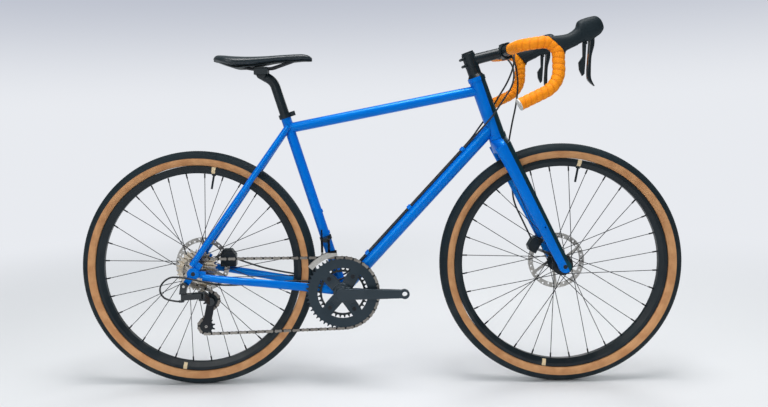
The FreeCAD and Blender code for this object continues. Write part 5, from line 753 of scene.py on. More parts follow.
@dataclass
class Finishes:
    """Every material of the bicycle, made once."""

    axles: dict[str, Vector]
    bracket: Vector
    made: dict[str, bpy.types.Material] = field(default_factory=dict)

    def paints(self) -> list[Finish]:
        """Blue paint, plain and with each black panel.

        Returns:
            The finishes.
        """
        paint = dict(
            colour=BLUE, cloud_colour=BLUE_SHADE, roughness=(0.30, 0.40), coat=0.16, specular=0.9,
            glint=BLUE_GLINT, grain_scale=420.0, grain_height=0.002 * MM, dust=0.02)
        return [
            PaintFinish("blue_paint", **paint),
            PaintFinish("blue_paint_black_nose", panel=Panel.HEAD, **paint),
            PaintFinish("blue_paint_black_edge", panel=Panel.FORK, **paint),
        ]

    def wheel_finishes(self) -> list[Finish]:
        """Rubber, rim and rotor of both wheels, and the cogs.

        Returns:
            The finishes.
        """
        rubber = dict(
            colour=(0.003, 0.011, 0.016), cloud_colour=(0.005, 0.015, 0.021), roughness=(0.58, 0.78),
            specular=0.3, grain_scale=1400.0, grain_height=0.05 * MM, dust=0.04)
        rim = dict(colour=INK, cloud_colour=INK_SHADE, roughness=(0.3, 0.44), specular=0.35, dust=0.03)
        turned = dict(cloud_colour=SILVER_SHADE, metallic=1.0, grain_height=0.008 * MM)
        finishes: list[Finish] = []
        for end, place in self.axles.items():
            axle = tuple(place)
            finishes += [
                TyreFinish(f"{end}_tyre_rubber", axle=axle, **rubber),
                RimFinish(f"{end}_rim_satin", axle=axle, **rim),
                TurnedFinish(f"{end}_rotor_steel", colour=ROTOR, roughness=(0.24, 0.4), axle=axle, **turned),
            ]
        cogs = TurnedFinish(
            "cog_steel", colour=GOLD, roughness=(0.2, 0.36), axle=tuple(self.axles["rear"]), **turned)
        return finishes + [cogs]

    def metals(self) -> list[Finish]:
        """Bare, grey and black metal.

        Returns:
            The finishes.
        """
        return [
            Finish("bolt_steel", SILVER, SILVER_SHADE, (0.2, 0.32), metallic=1.0, grain_height=0.004 * MM),
            TurnedFinish("ring_grey", SLATE, (0.026, 0.041, 0.054), (0.34, 0.46), metallic=0.55,
                         grain_height=0.006 * MM, axle=tuple(self.bracket)),
            Finish("crank_grey", SLATE, (0.025, 0.039, 0.051), (0.30, 0.40), metallic=0.55, coat=0.25),
            Finish("black_satin", INK, INK_SHADE, (0.30, 0.42), specular=0.4, grain_height=0.01 * MM),
            Finish("black_gloss", (0.002, 0.006, 0.009), INK, (0.14, 0.24), specular=0.5, coat=0.3),
            Finish("dark_steel", (0.03, 0.032, 0.036), (0.022, 0.024, 0.028), (0.3, 0.45), metallic=0.8),
            LevelFinish("cage_alloy", SILVER, SILVER_SHADE, (0.26, 0.4), metallic=1.0,
                        stretch=(0.2, 1.0, 1.0)),
            ChainFinish("chain_steel", (0.34, 0.32, 0.29), (0.22, 0.20, 0.18), (0.30, 0.48), metallic=1.0),
        ]

    def soft_finishes(self) -> list[Finish]:
        """Plastic, rubber, leather and tape.

        Returns:
            The finishes.
        """
        return [
            Finish("black_plastic", (0.003, 0.009, 0.013), (0.005, 0.012, 0.017), (0.42, 0.6), specular=0.4,
                   grain_height=0.03 * MM),
            # Painted highlight: the bar-end plugs are black discs, coloured pale here to stand for the bright
            # spot on their ends.
            Finish("bar_end_painted_highlight", (0.62, 0.60, 0.56), (0.56, 0.54, 0.50), (0.35, 0.5)),
            Finish("cord_black", (0.008, 0.009, 0.011), (0.012, 0.013, 0.015), (0.3, 0.45),
                   grain_height=0.01 * MM),
            PoredFinish("hood_rubber", (0.002, 0.009, 0.014), (0.004, 0.013, 0.019), (0.5, 0.7),
                        specular=0.35, cell_scale=900.0),
            PoredFinish("saddle_skin", (0.003, 0.010, 0.015), (0.005, 0.014, 0.020), (0.30, 0.46),
                        sheen=0.08),
            # The tape carries painted shade in its creases.
            TapeFinish("orange_tape", (0.95, 0.31, 0.006), (0.90, 0.26, 0.004), (0.48, 0.66), specular=0.2,
                       cell_scale=520.0, cell_height=0.16 * MM),
        ]

    def build(self) -> None:
        """Makes the materials."""
        for finish in (*self.paints(), *self.wheel_finishes(), *self.metals(), *self.soft_finishes()):
            self.made[finish.name] = finish.make()

    def __getitem__(self, name: str) -> bpy.types.Material:
        """The material of that name."""
        return self.made[name]


NODE_FINISHES = {
    "blue_paint": (
        "top_tube", "down_tube", "seat_tube", "bottom_bracket_shell", "chainstays", "seatstays",
        "rear_dropouts"),
    "blue_paint_black_nose": ("head_tube",),
    "blue_paint_black_edge": ("fork",),
    "black_satin": (
        "seat_clamp", "frame_bearings", "rear_thru_axle", "front_thru_axle", "rear_caliper", "front_caliper",
        "front_derailleur_clamp", "seatpost", "saddle_clamp", "headset_spacers", "stem", "stem_faceplate",
        "handlebar", "front_hub", "rear_hub", "derailleur_inner_link", "inner_chainring"),
    "black_gloss": (
        "brake_lever_left", "brake_lever_right", "derailleur_knuckle", "derailleur_outer_link",
        "derailleur_lower_knuckle"),
    # Painted highlight on the bar-end plugs, which are black discs.
    "bar_end_painted_highlight": ("bar_end_plugs",),
    "black_plastic": (
        "saddle_shell", "shift_paddle_left", "shift_paddle_right", "guide_pulley", "tension_pulley"),
    "dark_steel": (
        "saddle_rails", "stem_bolts", "front_spokes", "rear_spokes", "chainring_bolts", "derailleur_cage"),
    "cage_alloy": ("front_derailleur_cage",),
    "chain_steel": ("chain",),
    "cog_steel": ("cassette",),
    "ring_grey": ("outer_chainring",),
    "crank_grey": ("crank_arm_right", "crank_arm_left"),
    "front_rim_satin": ("front_rim",),
    "rear_rim_satin": ("rear_rim",),
    "front_rotor_steel": ("front_rotor",),
    "rear_rotor_steel": ("rear_rotor",),
}
SOFT_NODES = (
    (0.4 * MM, ("derailleur_knuckle", "derailleur_outer_link", "derailleur_inner_link",
                "derailleur_lower_knuckle", "saddle_clamp")),
    (0.6 * MM, ("rear_caliper", "front_caliper", "stem", "stem_faceplate")),
    (0.8 * MM, ("crank_arm_right", "crank_arm_left")),
)
SMOOTH_PASSES = 16
SMOOTH_FACTOR = 0.5


def paint_piece(item: bpy.types.Object, material: bpy.types.Material) -> bpy.types.Object:
    """Gives a piece one material.

    Args:
        item: The piece.
        material: Its material.

    Returns:
        The piece.
    """
    item.data.materials.clear()
    item.data.materials.append(material)
    return item


def dress_nodes(finishes: Finishes) -> None:
    """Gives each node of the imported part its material.

    Args:
        finishes: The materials.
    """
    for finish, names in NODE_FINISHES.items():
        for name in names:
            paint_piece(frame["nodes"][name], finishes[finish])


def soften_nodes() -> None:
    """Rounds the hard edges of the moulded and forged nodes, over a grid that suits their size."""
    for grid, names in SOFT_NODES:
        for name in names:
            node = frame["nodes"][name]
            skin = node.modifiers.new("even_skin", "REMESH")
            skin.mode = "VOXEL"
            skin.voxel_size = grid
            skin.use_smooth_shade = True
            smooth = node.modifiers.new("rounded_edges", "SMOOTH")
            smooth.factor = SMOOTH_FACTOR
            smooth.iterations = SMOOTH_PASSES


def settle(item: bpy.types.Object) -> bpy.types.Object:
    """Turns an object's modifiers into its plain mesh.

    Args:
        item: The object.

    Returns:
        The same object.
    """
    bpy.context.view_layer.update()
    graph = bpy.context.evaluated_depsgraph_get()
    mesh = bpy.data.meshes.new_from_object(item.evaluated_get(graph), depsgraph=graph)
    item.modifiers.clear()
    old = item.data
    item.data = mesh
    bpy.data.meshes.remove(old)
    mesh.name = item.name
    return item


def place_piece(item: bpy.types.Object, body: str, slot: str, *nodes: str) -> bpy.types.Object:
    """Puts a finished piece on its body, and in place of the nodes it stands for.

    Args:
        item: The piece.
        body: The body that it rides on.
        slot: The record's material slot; not used.
        nodes: Nodes that it stands for.

    Returns:
        The piece.
    """
    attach(item, body)
    if nodes:
        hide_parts(*nodes)
    LOG.info("%s rides on %s with %d faces", item.name, body, len(item.data.polygons))
    return item


class CopyTrees:
    """Geometry trees that repeat a form round an axle or over a skin."""

    def __init__(self) -> None:
        """No tree is made until it is asked for."""
        self.made: dict[Copies, bpy.types.NodeTree] = {}
        self.makers = {Copies.ROUND_AXLE: self.round_axle, Copies.OVER_SKIN: self.over_skin}

    def start(self, kind: Copies, inputs: dict[str, str]) -> tuple[Board, Sequence[Socket]]:
        """Empty tree with named inputs.

        Args:
            kind: Which form it repeats.
            inputs: Socket type of each named input.

        Returns:
            The tree's board and its input sockets.
        """
        tree = bpy.data.node_groups.new(kind.value, "GeometryNodeTree")
        tree.interface.new_socket("Geometry", in_out="INPUT", socket_type="NodeSocketGeometry")
        for label, socket in {**inputs, "Material": "Material"}.items():
            tree.interface.new_socket(label, in_out="INPUT", socket_type=f"NodeSocket{socket}")
        tree.interface.new_socket("Geometry", in_out="OUTPUT", socket_type="NodeSocketGeometry")
        self.made[kind] = tree
        board = Board(tree)
        return board, board.add("NodeGroupInput").outputs

    def close(self, board: Board, copies: Socket, material: Socket) -> None:
        """Ends a tree: copies made real, with their material.

        Args:
            board: The tree's board.
            copies: The instances.
            material: The material's input socket.
        """
        real = board.add("GeometryNodeRealizeInstances", {0: copies}).outputs[0]
        dressed = board.add("GeometryNodeSetMaterial", {"Geometry": real, "Material": material}).outputs[0]
        board.add("NodeGroupOutput", {0: dressed})

    def round_axle(self) -> None:
        """Copies of the piece turned about an axle along Y."""
        board, enter = self.start(Copies.ROUND_AXLE, {"Count": "Int", "Axle": "Vector"})
        back = board.add("ShaderNodeVectorMath", {0: enter["Axle"], "Scale": -1.0}, operation="SCALE")
        moved = board.add("GeometryNodeTransform", {
            "Geometry": enter["Geometry"], "Translation": back.outputs[0]})
        spots = board.add("GeometryNodeMeshLine", {
            "Count": enter["Count"], "Start Location": enter["Axle"], "Offset": (0, 0, 0)})
        share = board.sum("DIVIDE", board.add("GeometryNodeInputIndex").outputs[0], enter["Count"])
        turn = board.add("FunctionNodeAxisAngleToRotation", {
            "Axis": LEFT, "Angle": board.sum("MULTIPLY", share, FULL_TURN)})
        copies = board.add("GeometryNodeInstanceOnPoints", {
            "Points": spots.outputs[0], "Instance": moved.outputs[0], "Rotation": turn.outputs[0]})
        self.close(board, copies.outputs[0], enter["Material"])

    def over_skin(self) -> None:
        """Small dots scattered over a skin, flattened along its normal."""
        board, enter = self.start(Copies.OVER_SKIN, {
            "Density": "Float", "Gap": "Float", "Dot": "Vector", "Seed": "Int"})
        spots = board.add("GeometryNodeDistributePointsOnFaces", {
            "Mesh": enter["Geometry"], "Distance Min": enter["Gap"], "Density Max": enter["Density"],
            "Seed": enter["Seed"]}, distribute_method="POISSON").outputs
        dot = board.add("GeometryNodeMeshIcoSphere", {"Radius": 1.0, "Subdivisions": 1}).outputs[0]
        copies = board.add("GeometryNodeInstanceOnPoints", {
            "Points": spots["Points"], "Instance": dot, "Rotation": spots["Rotation"],
            "Scale": enter["Dot"]})
        smooth = board.add("GeometryNodeSetShadeSmooth", {"Geometry": copies.outputs[0]})
        self.close(board, smooth.outputs[0], enter["Material"])

    def apply(self, item: bpy.types.Object, kind: Copies, values: dict) -> bpy.types.Object:
        """Runs a tree on an object and keeps the result as its plain mesh.

        Args:
            item: The object whose mesh is repeated or covered.
            kind: The tree to use, built at its first use.
            values: Value of each named input.

        Returns:
            The same object.
        """
        if kind not in self.made:
            self.makers[kind]()
        modifier = item.modifiers.new(kind.value, "NODES")
        modifier.node_group = self.made[kind]
        for socket in self.made[kind].interface.items_tree:
            if socket.in_out == "INPUT" and socket.name in values:
                modifier[socket.identifier] = values[socket.name]
        return settle(item)


TREES = CopyTrees()
BOX_FACES = ((0, 1, 3, 2), (4, 6, 7, 5), (0, 4, 5, 1), (2, 3, 7, 6), (0, 2, 6, 4), (1, 5, 7, 3))


@dataclass
class Tyre:
    """One slick-centred tyre: casing with a stepped tread cap, and fine raised tread bars."""

    end: str
    axle: Vector
    finishes: Finishes
    radius: float = 339 * MM
    half_width: float = 23.5 * MM
    wall: float = 3.2 * MM
    bead_radius: float = 297.3 * MM
    cap_step: float = 0.7 * MM
    cap_reach: float = math.radians(83.5)
    cap_edge: float = 1.2 * MM
    inside_share: float = 0.97
    cap_points: int = 14
    wall_points: int = 9
    inside_points: int = 8
    bar_proud: float = 0.45 * MM
    bar_length: float = 7.0 * MM
    bar_width: float = 1.5 * MM
    bar_top_share: float = 0.6
    bar_rows: tuple[float, ...] = (0.16, 0.44, 0.72, 1.0, 1.24)
    bar_slant: float = math.radians(38)
    segments: int = 288
    segment_bars: int = 330

    @property
    def middle(self) -> float:
        """Radius of the casing's round middle line."""
        return self.radius - self.half_width

    @property
    def outer(self) -> float:
        """Radius of the tread cap's section."""
        return self.half_width - self.bar_proud

    def section_point(self, lean: float, away: float) -> tuple[float, float]:
        """Radius and side offset at an angle from the crown."""
        return self.middle + away * math.cos(lean), away * math.sin(lean)

    def section(self) -> list[tuple[float, float]]:
        """Closed outline of the casing, from bead to bead and back inside.

        Returns:
            Radius and side offset of each point.
        """
        reach = math.acos((self.bead_radius - self.middle) / self.half_width)
        start = self.cap_reach + self.cap_edge / self.half_width
        cap_steps = range(-self.cap_points, self.cap_points + 1)
        inside_steps = range(self.inside_points, -self.inside_points - 1, -1)
        low = self.outer - self.cap_step
        inner = self.half_width - self.wall
        cap = [self.section_point(self.cap_reach * step / self.cap_points, self.outer) for step in cap_steps]
        wall = [self.section_point(start + (reach - start) * step / self.wall_points, low)
                for step in range(self.wall_points + 1)]
        inside = [self.section_point(reach * self.inside_share * step / self.inside_points, inner)
                  for step in inside_steps]
        right = [(radius, -side) for radius, side in reversed(wall)]
        return right + cap + wall + inside

    def wheel_point(self, turn: float, radius: float, side: float) -> Vector:
        """Point at a turn about the axle."""
        return self.axle + Vector((radius * math.cos(turn), side, -radius * math.sin(turn)))

    def tread_segment(self) -> bpy.types.Object:
        """Slanted bars of one segment of the tread, in a fishbone either side of the crown.

        Returns:
            The segment as an object.
        """
        points: list[Vector] = []
        faces: Faces = []
        slant_across, slant_along = math.cos(self.bar_slant), math.sin(self.bar_slant)
        for row, side in product(self.bar_rows, SIDES.values()):
            start = len(points)
            for rise, along, across in product((-1, 1), repeat=3):
                half_long = along * self.bar_length / 2
                half_wide = across * self.bar_width / 2 * (1.0 if rise < 0 else self.bar_top_share)
                lean = row + (half_long * slant_across - half_wide * slant_along) / self.outer
                ahead = half_long * slant_along + half_wide * slant_across
                radius, offset = self.section_point(lean, self.outer + rise * self.bar_proud)
                points.append(self.wheel_point(ahead / radius, radius, side * offset))
            faces += [[start + corner for corner in face] for face in BOX_FACES]
        item = mesh_piece(f"{self.end}_tyre_tread", points, faces)
        item.data.shade_flat()
        return item

    def build(self) -> None:
        """Makes the casing and its tread bars."""
        rubber = self.finishes[f"{self.end}_tyre_rubber"]
        outline = self.section()
        rows = [[self.wheel_point(turn, radius, side) for radius, side in outline]
                for turn in round_turns(self.segments)]
        casing = paint_piece(mesh_piece(f"{self.end}_tyre_casing", *skin_rows(rows, closed=True)), rubber)
        place_piece(casing, f"{self.end}_wheel", "tyre", f"{self.end}_tyre")
        bars = TREES.apply(self.tread_segment(), Copies.ROUND_AXLE, {
            "Count": self.segment_bars, "Axle": self.axle, "Material": rubber})
        place_piece(bars, f"{self.end}_wheel", "tyre")


@dataclass
class Bar:
    """Drop bar: the line that its tape and hoods follow, reckoned from the levers' pivots."""

    half_width: float = 205 * MM
    pivot_ahead: float = 171 * MM
    pivot_rise: float = 16 * MM
    reach: float = 89 * MM
    ramp_rise: float = 9 * MM
    drop: float = 150 * MM
    hook_fall: float = 104 * MM
    tail_back: float = 10 * MM
    flare: float = 18 * MM
    bends: tuple[float, float, float] = (45 * MM, 36 * MM, 64 * MM)
    taped_from: float = 66 * MM
    line_step: float = 1.3 * MM

    def pivot(self, word: str) -> Vector:
        """Pivot of a brake lever."""
        return joint_place(f"brake_lever_{word}_pull")

    def middle(self, word: str) -> Vector:
        """Middle of the bar, as reckoned from one lever's pivot."""
        wide = SIDES[word] * self.half_width
        return self.pivot(word) - Vector((self.pivot_ahead, wide, self.pivot_rise))

    def taped_line(self, word: str) -> list[Vector]:
        """Middle line of the taped stretch on one side.

        Args:
            word: The side's name.

        Returns:
            Evenly spaced points from beside the clamp to the bar's end.
        """
        side = SIDES[word]
        wide = side * self.half_width
        flare = side * self.flare
        hook = wide + flare * self.hook_fall / self.drop
        corners = [
            Vector((0, side * self.taped_from, 0)),
            Vector((0, wide, 0)),
            Vector((self.reach, wide, self.ramp_rise)),
            Vector((self.reach, hook, -self.hook_fall)),
            Vector((-self.tail_back, wide + flare, -self.drop)),
        ]
        middle = self.middle(word)
        return rounded_line([middle + corner for corner in corners], self.bends, self.line_step)


@dataclass
class BarTape:
    """Tape wound on both sides of the bar, with a finishing band beside the clamp."""

    bar: Bar
    finishes: Finishes
    radius: float = 15.95 * MM
    lap_dip: float = 1.3 * MM
    lap_power: float = 0.7
    lap_rows: int = 12
    lap_points: int = 44
    end_share: float = 0.001
    merge_gap: float = 0.01 * MM
    band_rows: int = 14
    band_proud: float = 0.25 * MM

    def lap_rise(self, share: float) -> float:
        """Fullness of the tape at a share of one winding: 0 in the crease, 1 on its crown."""
        return (4 * share * (1 - share)) ** self.lap_power

    def wind(self, work: bmesh.types.BMesh, word: str) -> None:
        """Winds the tape of one side, with its windings along the rows of the mesh.

        Args:
            work: The mesh that takes the tape.
            word: The side's name.
        """
        line = self.bar.taped_line(word)
        axes = sweep_axes(line)
        crease = work.verts.layers.float["crease"]
        last = len(line) - 1
        rows = []
        for row in range(-self.lap_rows, last + 1):
            rise = self.lap_rise(row % self.lap_rows / self.lap_rows)
            ring = []
            for step in range(self.lap_points + 1):
                turn = FULL_TURN * step / self.lap_points
                run = row + self.lap_rows * step / self.lap_points
                held = min(max(run, 0.0), last - self.end_share)
                before = int(held)
                point = line[before].lerp(line[before + 1], held - before)
                side, over = axes[before]
                away = side * math.cos(turn) + over * (SIDES[word] * math.sin(turn))
                corner = work.verts.new(point + away * (self.radius - self.lap_dip * (1 - rise)))
                # The crease value marks where the tape's painted shade goes: 1 in the dip between windings, 0
                # on the crown.
                corner[crease] = 1 - rise
                ring.append(corner)
            rows.append(ring)
        for first, second in zip(rows, rows[1:]):
            for step in range(self.lap_points):
                work.faces.new((first[step], first[step + 1], second[step + 1], second[step]))

    def build_windings(self) -> None:
        """Makes the tape of both sides as one piece."""
        work = bmesh.new()
        work.verts.layers.float.new("crease")
        for word in SIDES:
            self.wind(work, word)
        bmesh.ops.remove_doubles(work, verts=work.verts, dist=self.merge_gap)
        bmesh.ops.holes_fill(work, edges=[edge for edge in work.edges if edge.is_boundary])
        bmesh.ops.recalc_face_normals(work, faces=work.faces)
        mesh = bpy.data.meshes.new("wound_bar_tape")
        work.to_mesh(mesh)
        work.free()
        mesh.shade_smooth()
        tape = paint_piece(new_object("wound_bar_tape", mesh), self.finishes["orange_tape"])
        place_piece(tape, "steering", "tape", "bar_tape")

    def build_bands(self) -> None:
        """Makes the finishing bands of both sides as one piece."""
        points: list[Vector] = []
        faces: Faces = []
        for word in SIDES:
            line = self.bar.taped_line(word)[:self.band_rows]
            rows = swept(line, self.radius + self.band_proud, self.lap_points)
            new_points, new_faces = skin_rows(rows)
            faces += [[len(points) + corner for corner in face] for face in new_faces]
            points += new_points
        bands = paint_piece(mesh_piece("tape_finishing_bands", points, faces), self.finishes["black_plastic"])
        place_piece(bands, "steering", "plastic")

    def build(self) -> None:
        """Makes the tape and its bands."""
        self.build_windings()
        self.build_bands()


@dataclass
class BrakeLever:
    """One brake lever: a rounded blade from its pivot eye to a flared tip.

    The outlines are (ahead, up) from the pivot: pulled_room in metres, and the blade's edges in shares of
    its depth and length.
    """

    word: str
    pivot: Vector
    finishes: Finishes
    length: float = 124 * MM
    depth: float = 26 * MM
    half_width: float = 7.4 * MM
    eye: float = 8 * MM
    gap: float = 0.6 * MM
    eye_points: int = 12
    pulled_room: Spots = ((-0.0286, -0.0049), (-0.0395, -0.0358), (-0.0395, -0.0818), (0.016, -0.046))
    front_shares: Spots = (
        (0.33, -0.02), (0.30, -0.18), (0.04, -0.40), (-0.02, -0.68), (0.02, -0.85), (0.36, -1.0))
    rear_shares: Spots = (
        (-0.31, -0.02), (-0.36, -0.20), (-0.42, -0.50), (-0.50, -0.72), (-0.40, -0.88), (0.20, -1.0))
    wide_shares: Shares = (1.0, 1.0, 0.92, 0.82, 0.74, 0.6)
    rings: int = 44
    ring_points: int = 28
    tip_rings: int = 5
    tip_loss_share: float = 0.6
    back_hollow_share: float = 0.35
    depth_power: float = 0.7
    width_power: float = 0.8

    def room(self) -> bpy.types.Object:
        """Room that the lever moves in, to cut away from its hood.

        Returns:
            The room as a closed solid.
        """
        half = self.half_width + self.gap * 2
        radius = self.eye + self.gap
        turns = [math.pi * step / self.eye_points for step in range(self.eye_points + 1)]
        outline = [(radius * math.cos(turn), radius * math.sin(turn)) for turn in turns]
        outline += self.pulled_room
        rows = [[self.pivot + Vector((x, side * half, z)) for x, z in outline] for side in (-1, 1)]
        return mesh_piece(f"slot_room_{self.word}", *skin_rows(rows))

    def edge(self, shares: Spots, place: float) -> Vector:
        """Point on the blade's front or rear edge.

        Args:
            shares: The edge's outline.
            place: Place among its points.

        Returns:
            The point.
        """
        ahead = eased([spot[0] for spot in shares], place) * self.depth
        rise = eased([spot[1] for spot in shares], place) * self.length
        return self.pivot + Vector((ahead, 0, rise))

    def ring(self, number: int) -> list[Vector]:
        """One section of the blade, hollow along its back.

        Args:
            number: Its number from the pivot down.

        Returns:
            The section's points.
        """
        place = (len(self.front_shares) - 1) * number / self.rings
        front = self.edge(self.front_shares, place)
        rear = self.edge(self.rear_shares, place)
        closing = max(number - self.rings + self.tip_rings, 0) / self.tip_rings
        wide = eased(self.wide_shares, place) * self.half_width
        wide *= math.sqrt(1 - self.tip_loss_share * closing ** 2)
        points = []
        for turn in round_turns(self.ring_points):
            across, along = math.sin(turn), math.cos(turn)
            hollow = self.back_hollow_share * (1 - across ** 2) if along < 0 else 0.0
            deep = (front - rear) / 2 * (bowed(along, self.depth_power) * (1 - hollow))
            points.append((front + rear) / 2 + deep + LEFT * (bowed(across, self.width_power) * wide))
        return points

    def build(self) -> None:
        """Makes the blade."""
        rows = [self.ring(number) for number in range(self.rings + 1)]
        blade = mesh_piece(f"lever_blade_{self.word}", *skin_rows(rows))
        paint_piece(blade, self.finishes["black_gloss"])
        place_piece(blade, f"brake_lever_{self.word}", "black_alloy", f"brake_lever_{self.word}")


@dataclass
class Hood:
    """Rubber hood over one lever's pivot, from its rolled rear lip to its horn, with a dotted grip."""

    word: str
    bar: Bar
    lever: BrakeLever
    finishes: Finishes
    ahead: float = 68 * MM
    drop: float = 26 * MM
    length: float = 128 * MM
    height: float = 92 * MM
    width: float = 37 * MM
    run_shares: Shares = (0.129, 0.229, 0.383, 0.523, 0.605, 0.734, 0.879, 0.974, 1.043)
    rise_shares: Shares = (0.253, 0.293, 0.350, 0.462, 0.582, 0.634, 0.712, 0.717, 0.674)
    tall_shares: Shares = (0.70, 0.50, 0.411, 0.472, 0.598, 0.663, 0.587, 0.418, 0.15)
    wide_shares: Shares = (0.84, 0.96, 1.0, 1.0, 0.98, 0.94, 0.86, 0.68, 0.36)
    lean_degrees: tuple[float, ...] = (43.0, 32.0, 15.0, 8.0, 16.0, 7.5, 1.0, 0.0, -5.0)
    round_power: float = 0.86
    tip_rings: int = 4
    tip_loss_share: float = 0.75
    lip_proud: float = 0.7 * MM
    lip_ring: float = 1.2
    rings: int = 40
    ring_points: int = 40
    sharp_angle: float = math.radians(42)
    grip_rings: tuple[int, int] = (9, 27)
    grip_half: int = 4
    grip_density: float = 90000.0
    grip_gap: float = 2.6 * MM
    grip_dot: Place = (0.9 * MM, 0.9 * MM, 0.28 * MM)
    grip_seed: int = 7

    def ring(self, number: int) -> list[Vector]:
        """One section of the hood, square to its spine.

        Args:
            number: Its number from the lip forward.

        Returns:
            The section's points.
        """
        place = (len(self.run_shares) - 1) * number / self.rings
        run = eased(self.run_shares, place) * self.length
        rise = eased(self.rise_shares, place) * self.height
        tall = eased(self.tall_shares, place) * self.height / 2
        wide = min(eased(self.wide_shares, place) * self.width / 2, tall)
        lean = math.radians(eased(self.lean_degrees, place))
        tip = max(number - self.rings + self.tip_rings, 0) / self.tip_rings
        shrink = math.sqrt(1 - tip ** 2 * self.tip_loss_share)
        lip = self.lip_proud * math.exp(-(number - self.lip_ring) ** 2)
        start = Vector((self.ahead, SIDES[self.word] * self.bar.half_width, -self.drop))
        centre = self.bar.middle(self.word) + start + Vector((run, 0, rise))
        square = Vector((-math.sin(lean), 0, math.cos(lean)))
        points = []
        for turn in round_turns(self.ring_points):
            flat = bowed(math.cos(turn), self.round_power) * (wide * shrink + lip)
            high = bowed(math.sin(turn), self.round_power) * (tall * shrink + lip)
            points.append(centre + LEFT * flat + square * high)
        return points

    def rows(self) -> Rows:
        """All sections of the hood."""
        return [self.ring(number) for number in range(self.rings + 1)]

    def build_skin(self) -> None:
        """Makes the hood, slotted for its lever."""
        hood = mesh_piece(f"hood_{self.word}", *skin_rows(self.rows()))
        room = self.lever.room()
        knife = hood.modifiers.new("lever_slot", "BOOLEAN")
        knife.operation = "DIFFERENCE"
        knife.object = room
        settle(hood)
        bpy.data.objects.remove(room)
        hood.data.shade_smooth()
        hood.data.set_sharp_from_angle(angle=self.sharp_angle)
        paint_piece(hood, self.finishes["hood_rubber"])
        place_piece(hood, "steering", "hood_rubber", "lever_hoods")

    def build_grip(self) -> None:
        """Makes the raised dots on both flanks."""
        rows = self.rows()
        count = self.ring_points
        faces = []
        for ring, middle in product(range(*self.grip_rings), (0, count // 2)):
            for step in range(middle - self.grip_half, middle + self.grip_half):
                first = ring * count + step % count
                second = ring * count + (step + 1) % count
                faces.append([first, second, second + count, first + count])
        flanks = mesh_piece(f"hood_grip_{self.word}", [point for row in rows for point in row], faces)
        dots = TREES.apply(flanks, Copies.OVER_SKIN, {
            "Density": self.grip_density, "Gap": self.grip_gap, "Dot": self.grip_dot, "Seed": self.grip_seed,
            "Material": self.finishes["hood_rubber"]})
        place_piece(dots, "steering", "hood_rubber")

    def build(self) -> None:
        """Makes the hood and its grip."""
        self.build_skin()
        self.build_grip()


@dataclass
class Cockpit:
    """Everything dressed on the bar: tape, hoods and brake levers."""

    finishes: Finishes
    bar: Bar = field(default_factory=Bar)

    def build(self) -> None:
        """Makes the tape, then the hoods, then the levers."""
        BarTape(self.bar, self.finishes).build()
        levers = [BrakeLever(word, self.bar.pivot(word), self.finishes) for word in SIDES]
        for lever in levers:
            Hood(lever.word, self.bar, lever, self.finishes).build()
        for lever in levers:
            lever.build()


@dataclass
class Saddle:
    """Padded saddle cover with a shallow channel along its top."""

    finishes: Finishes
    run_shares: Shares = (0.0, 0.035, 0.11, 0.21, 0.36, 0.52, 0.68, 0.82, 0.91, 0.97, 1.0)
    wide_shares: Shares = (0.40, 0.68, 0.93, 1.0, 0.84, 0.54, 0.36, 0.30, 0.27, 0.21, 0.11)
    top_shares: Shares = (-0.15, 0.05, 0.03, -0.06, -0.12, -0.10, -0.03, 0.01, 0.0, -0.14, -0.34)
    deep_shares: Shares = (0.30, 0.64, 0.86, 1.0, 0.86, 0.68, 0.58, 0.60, 0.54, 0.42, 0.20)
    depth: float = 32 * MM
    highest_share: float = 0.05
    waist_share: float = 0.36
    side_power: float = 0.78
    crown_power: float = 0.72
    under_flat: float = 1.25
    under_tuck_share: float = 0.13
    channel: float = 1.6 * MM
    channel_share: float = 0.22
    channel_full_depth: float = 12 * MM
    rings: int = 90
    ring_points: int = 56
    fill: float = 0.9
    low: Vector = field(init=False)
    high: Vector = field(init=False)

    def __post_init__(self) -> None:
        """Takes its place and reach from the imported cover."""
        self.low, self.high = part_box("saddle_cover")

    def section(self, place: float) -> tuple[float, float, float, float]:
        """Sizes of one section.

        Args:
            place: Place among the shares.

        Returns:
            Its run, half width, top and bottom.
        """
        run = self.low.x + eased(self.run_shares, place) * (self.high.x - self.low.x)
        half = eased(self.wide_shares, place) * (self.high.y - self.low.y) / 2
        top = self.high.z + (eased(self.top_shares, place) - self.highest_share) * self.depth
        return run, half, top, top - eased(self.deep_shares, place) * self.depth

    def ring(self, place: float) -> list[Vector]:
        """One closed section: crowned top, full sides and a flat underside.

        Args:
            place: Place among the shares.

        Returns:
            The section's points.
        """
        run, half, top, bottom = self.section(place)
        deep = top - bottom
        middle = bottom + deep * self.waist_share
        groove = self.channel * min(deep / self.channel_full_depth, 1.0)
        points = []
        for turn in round_turns(self.ring_points):
            across, rise = math.cos(turn), math.sin(turn)
            wide = bowed(across, self.side_power) * half
            if rise >= 0:
                height = middle + (top - middle) * rise ** self.crown_power
                height -= groove * math.exp(-(wide / half / self.channel_share) ** 2)
            else:
                height = middle + (middle - bottom) * max(rise * self.under_flat, -1.0)
                wide *= 1 + self.under_tuck_share * rise
            points.append(Vector((run, wide, height)))
        return points

    def build(self) -> None:
        """Makes the cover."""
        last = len(self.run_shares) - 1
        rows = [self.ring(last * number / self.rings) for number in range(self.rings + 1)]
        cover = mesh_piece("padded_saddle", *skin_rows(rows))
        smooth = cover.modifiers.new("smooth", "SUBSURF")
        smooth.levels = smooth.render_levels = 1
        settle(cover)
        cover.data.shade_smooth()
        paint_piece(cover, self.finishes["saddle_skin"])
        place_piece(cover, "seatpost", "saddle_cover", "saddle_cover")


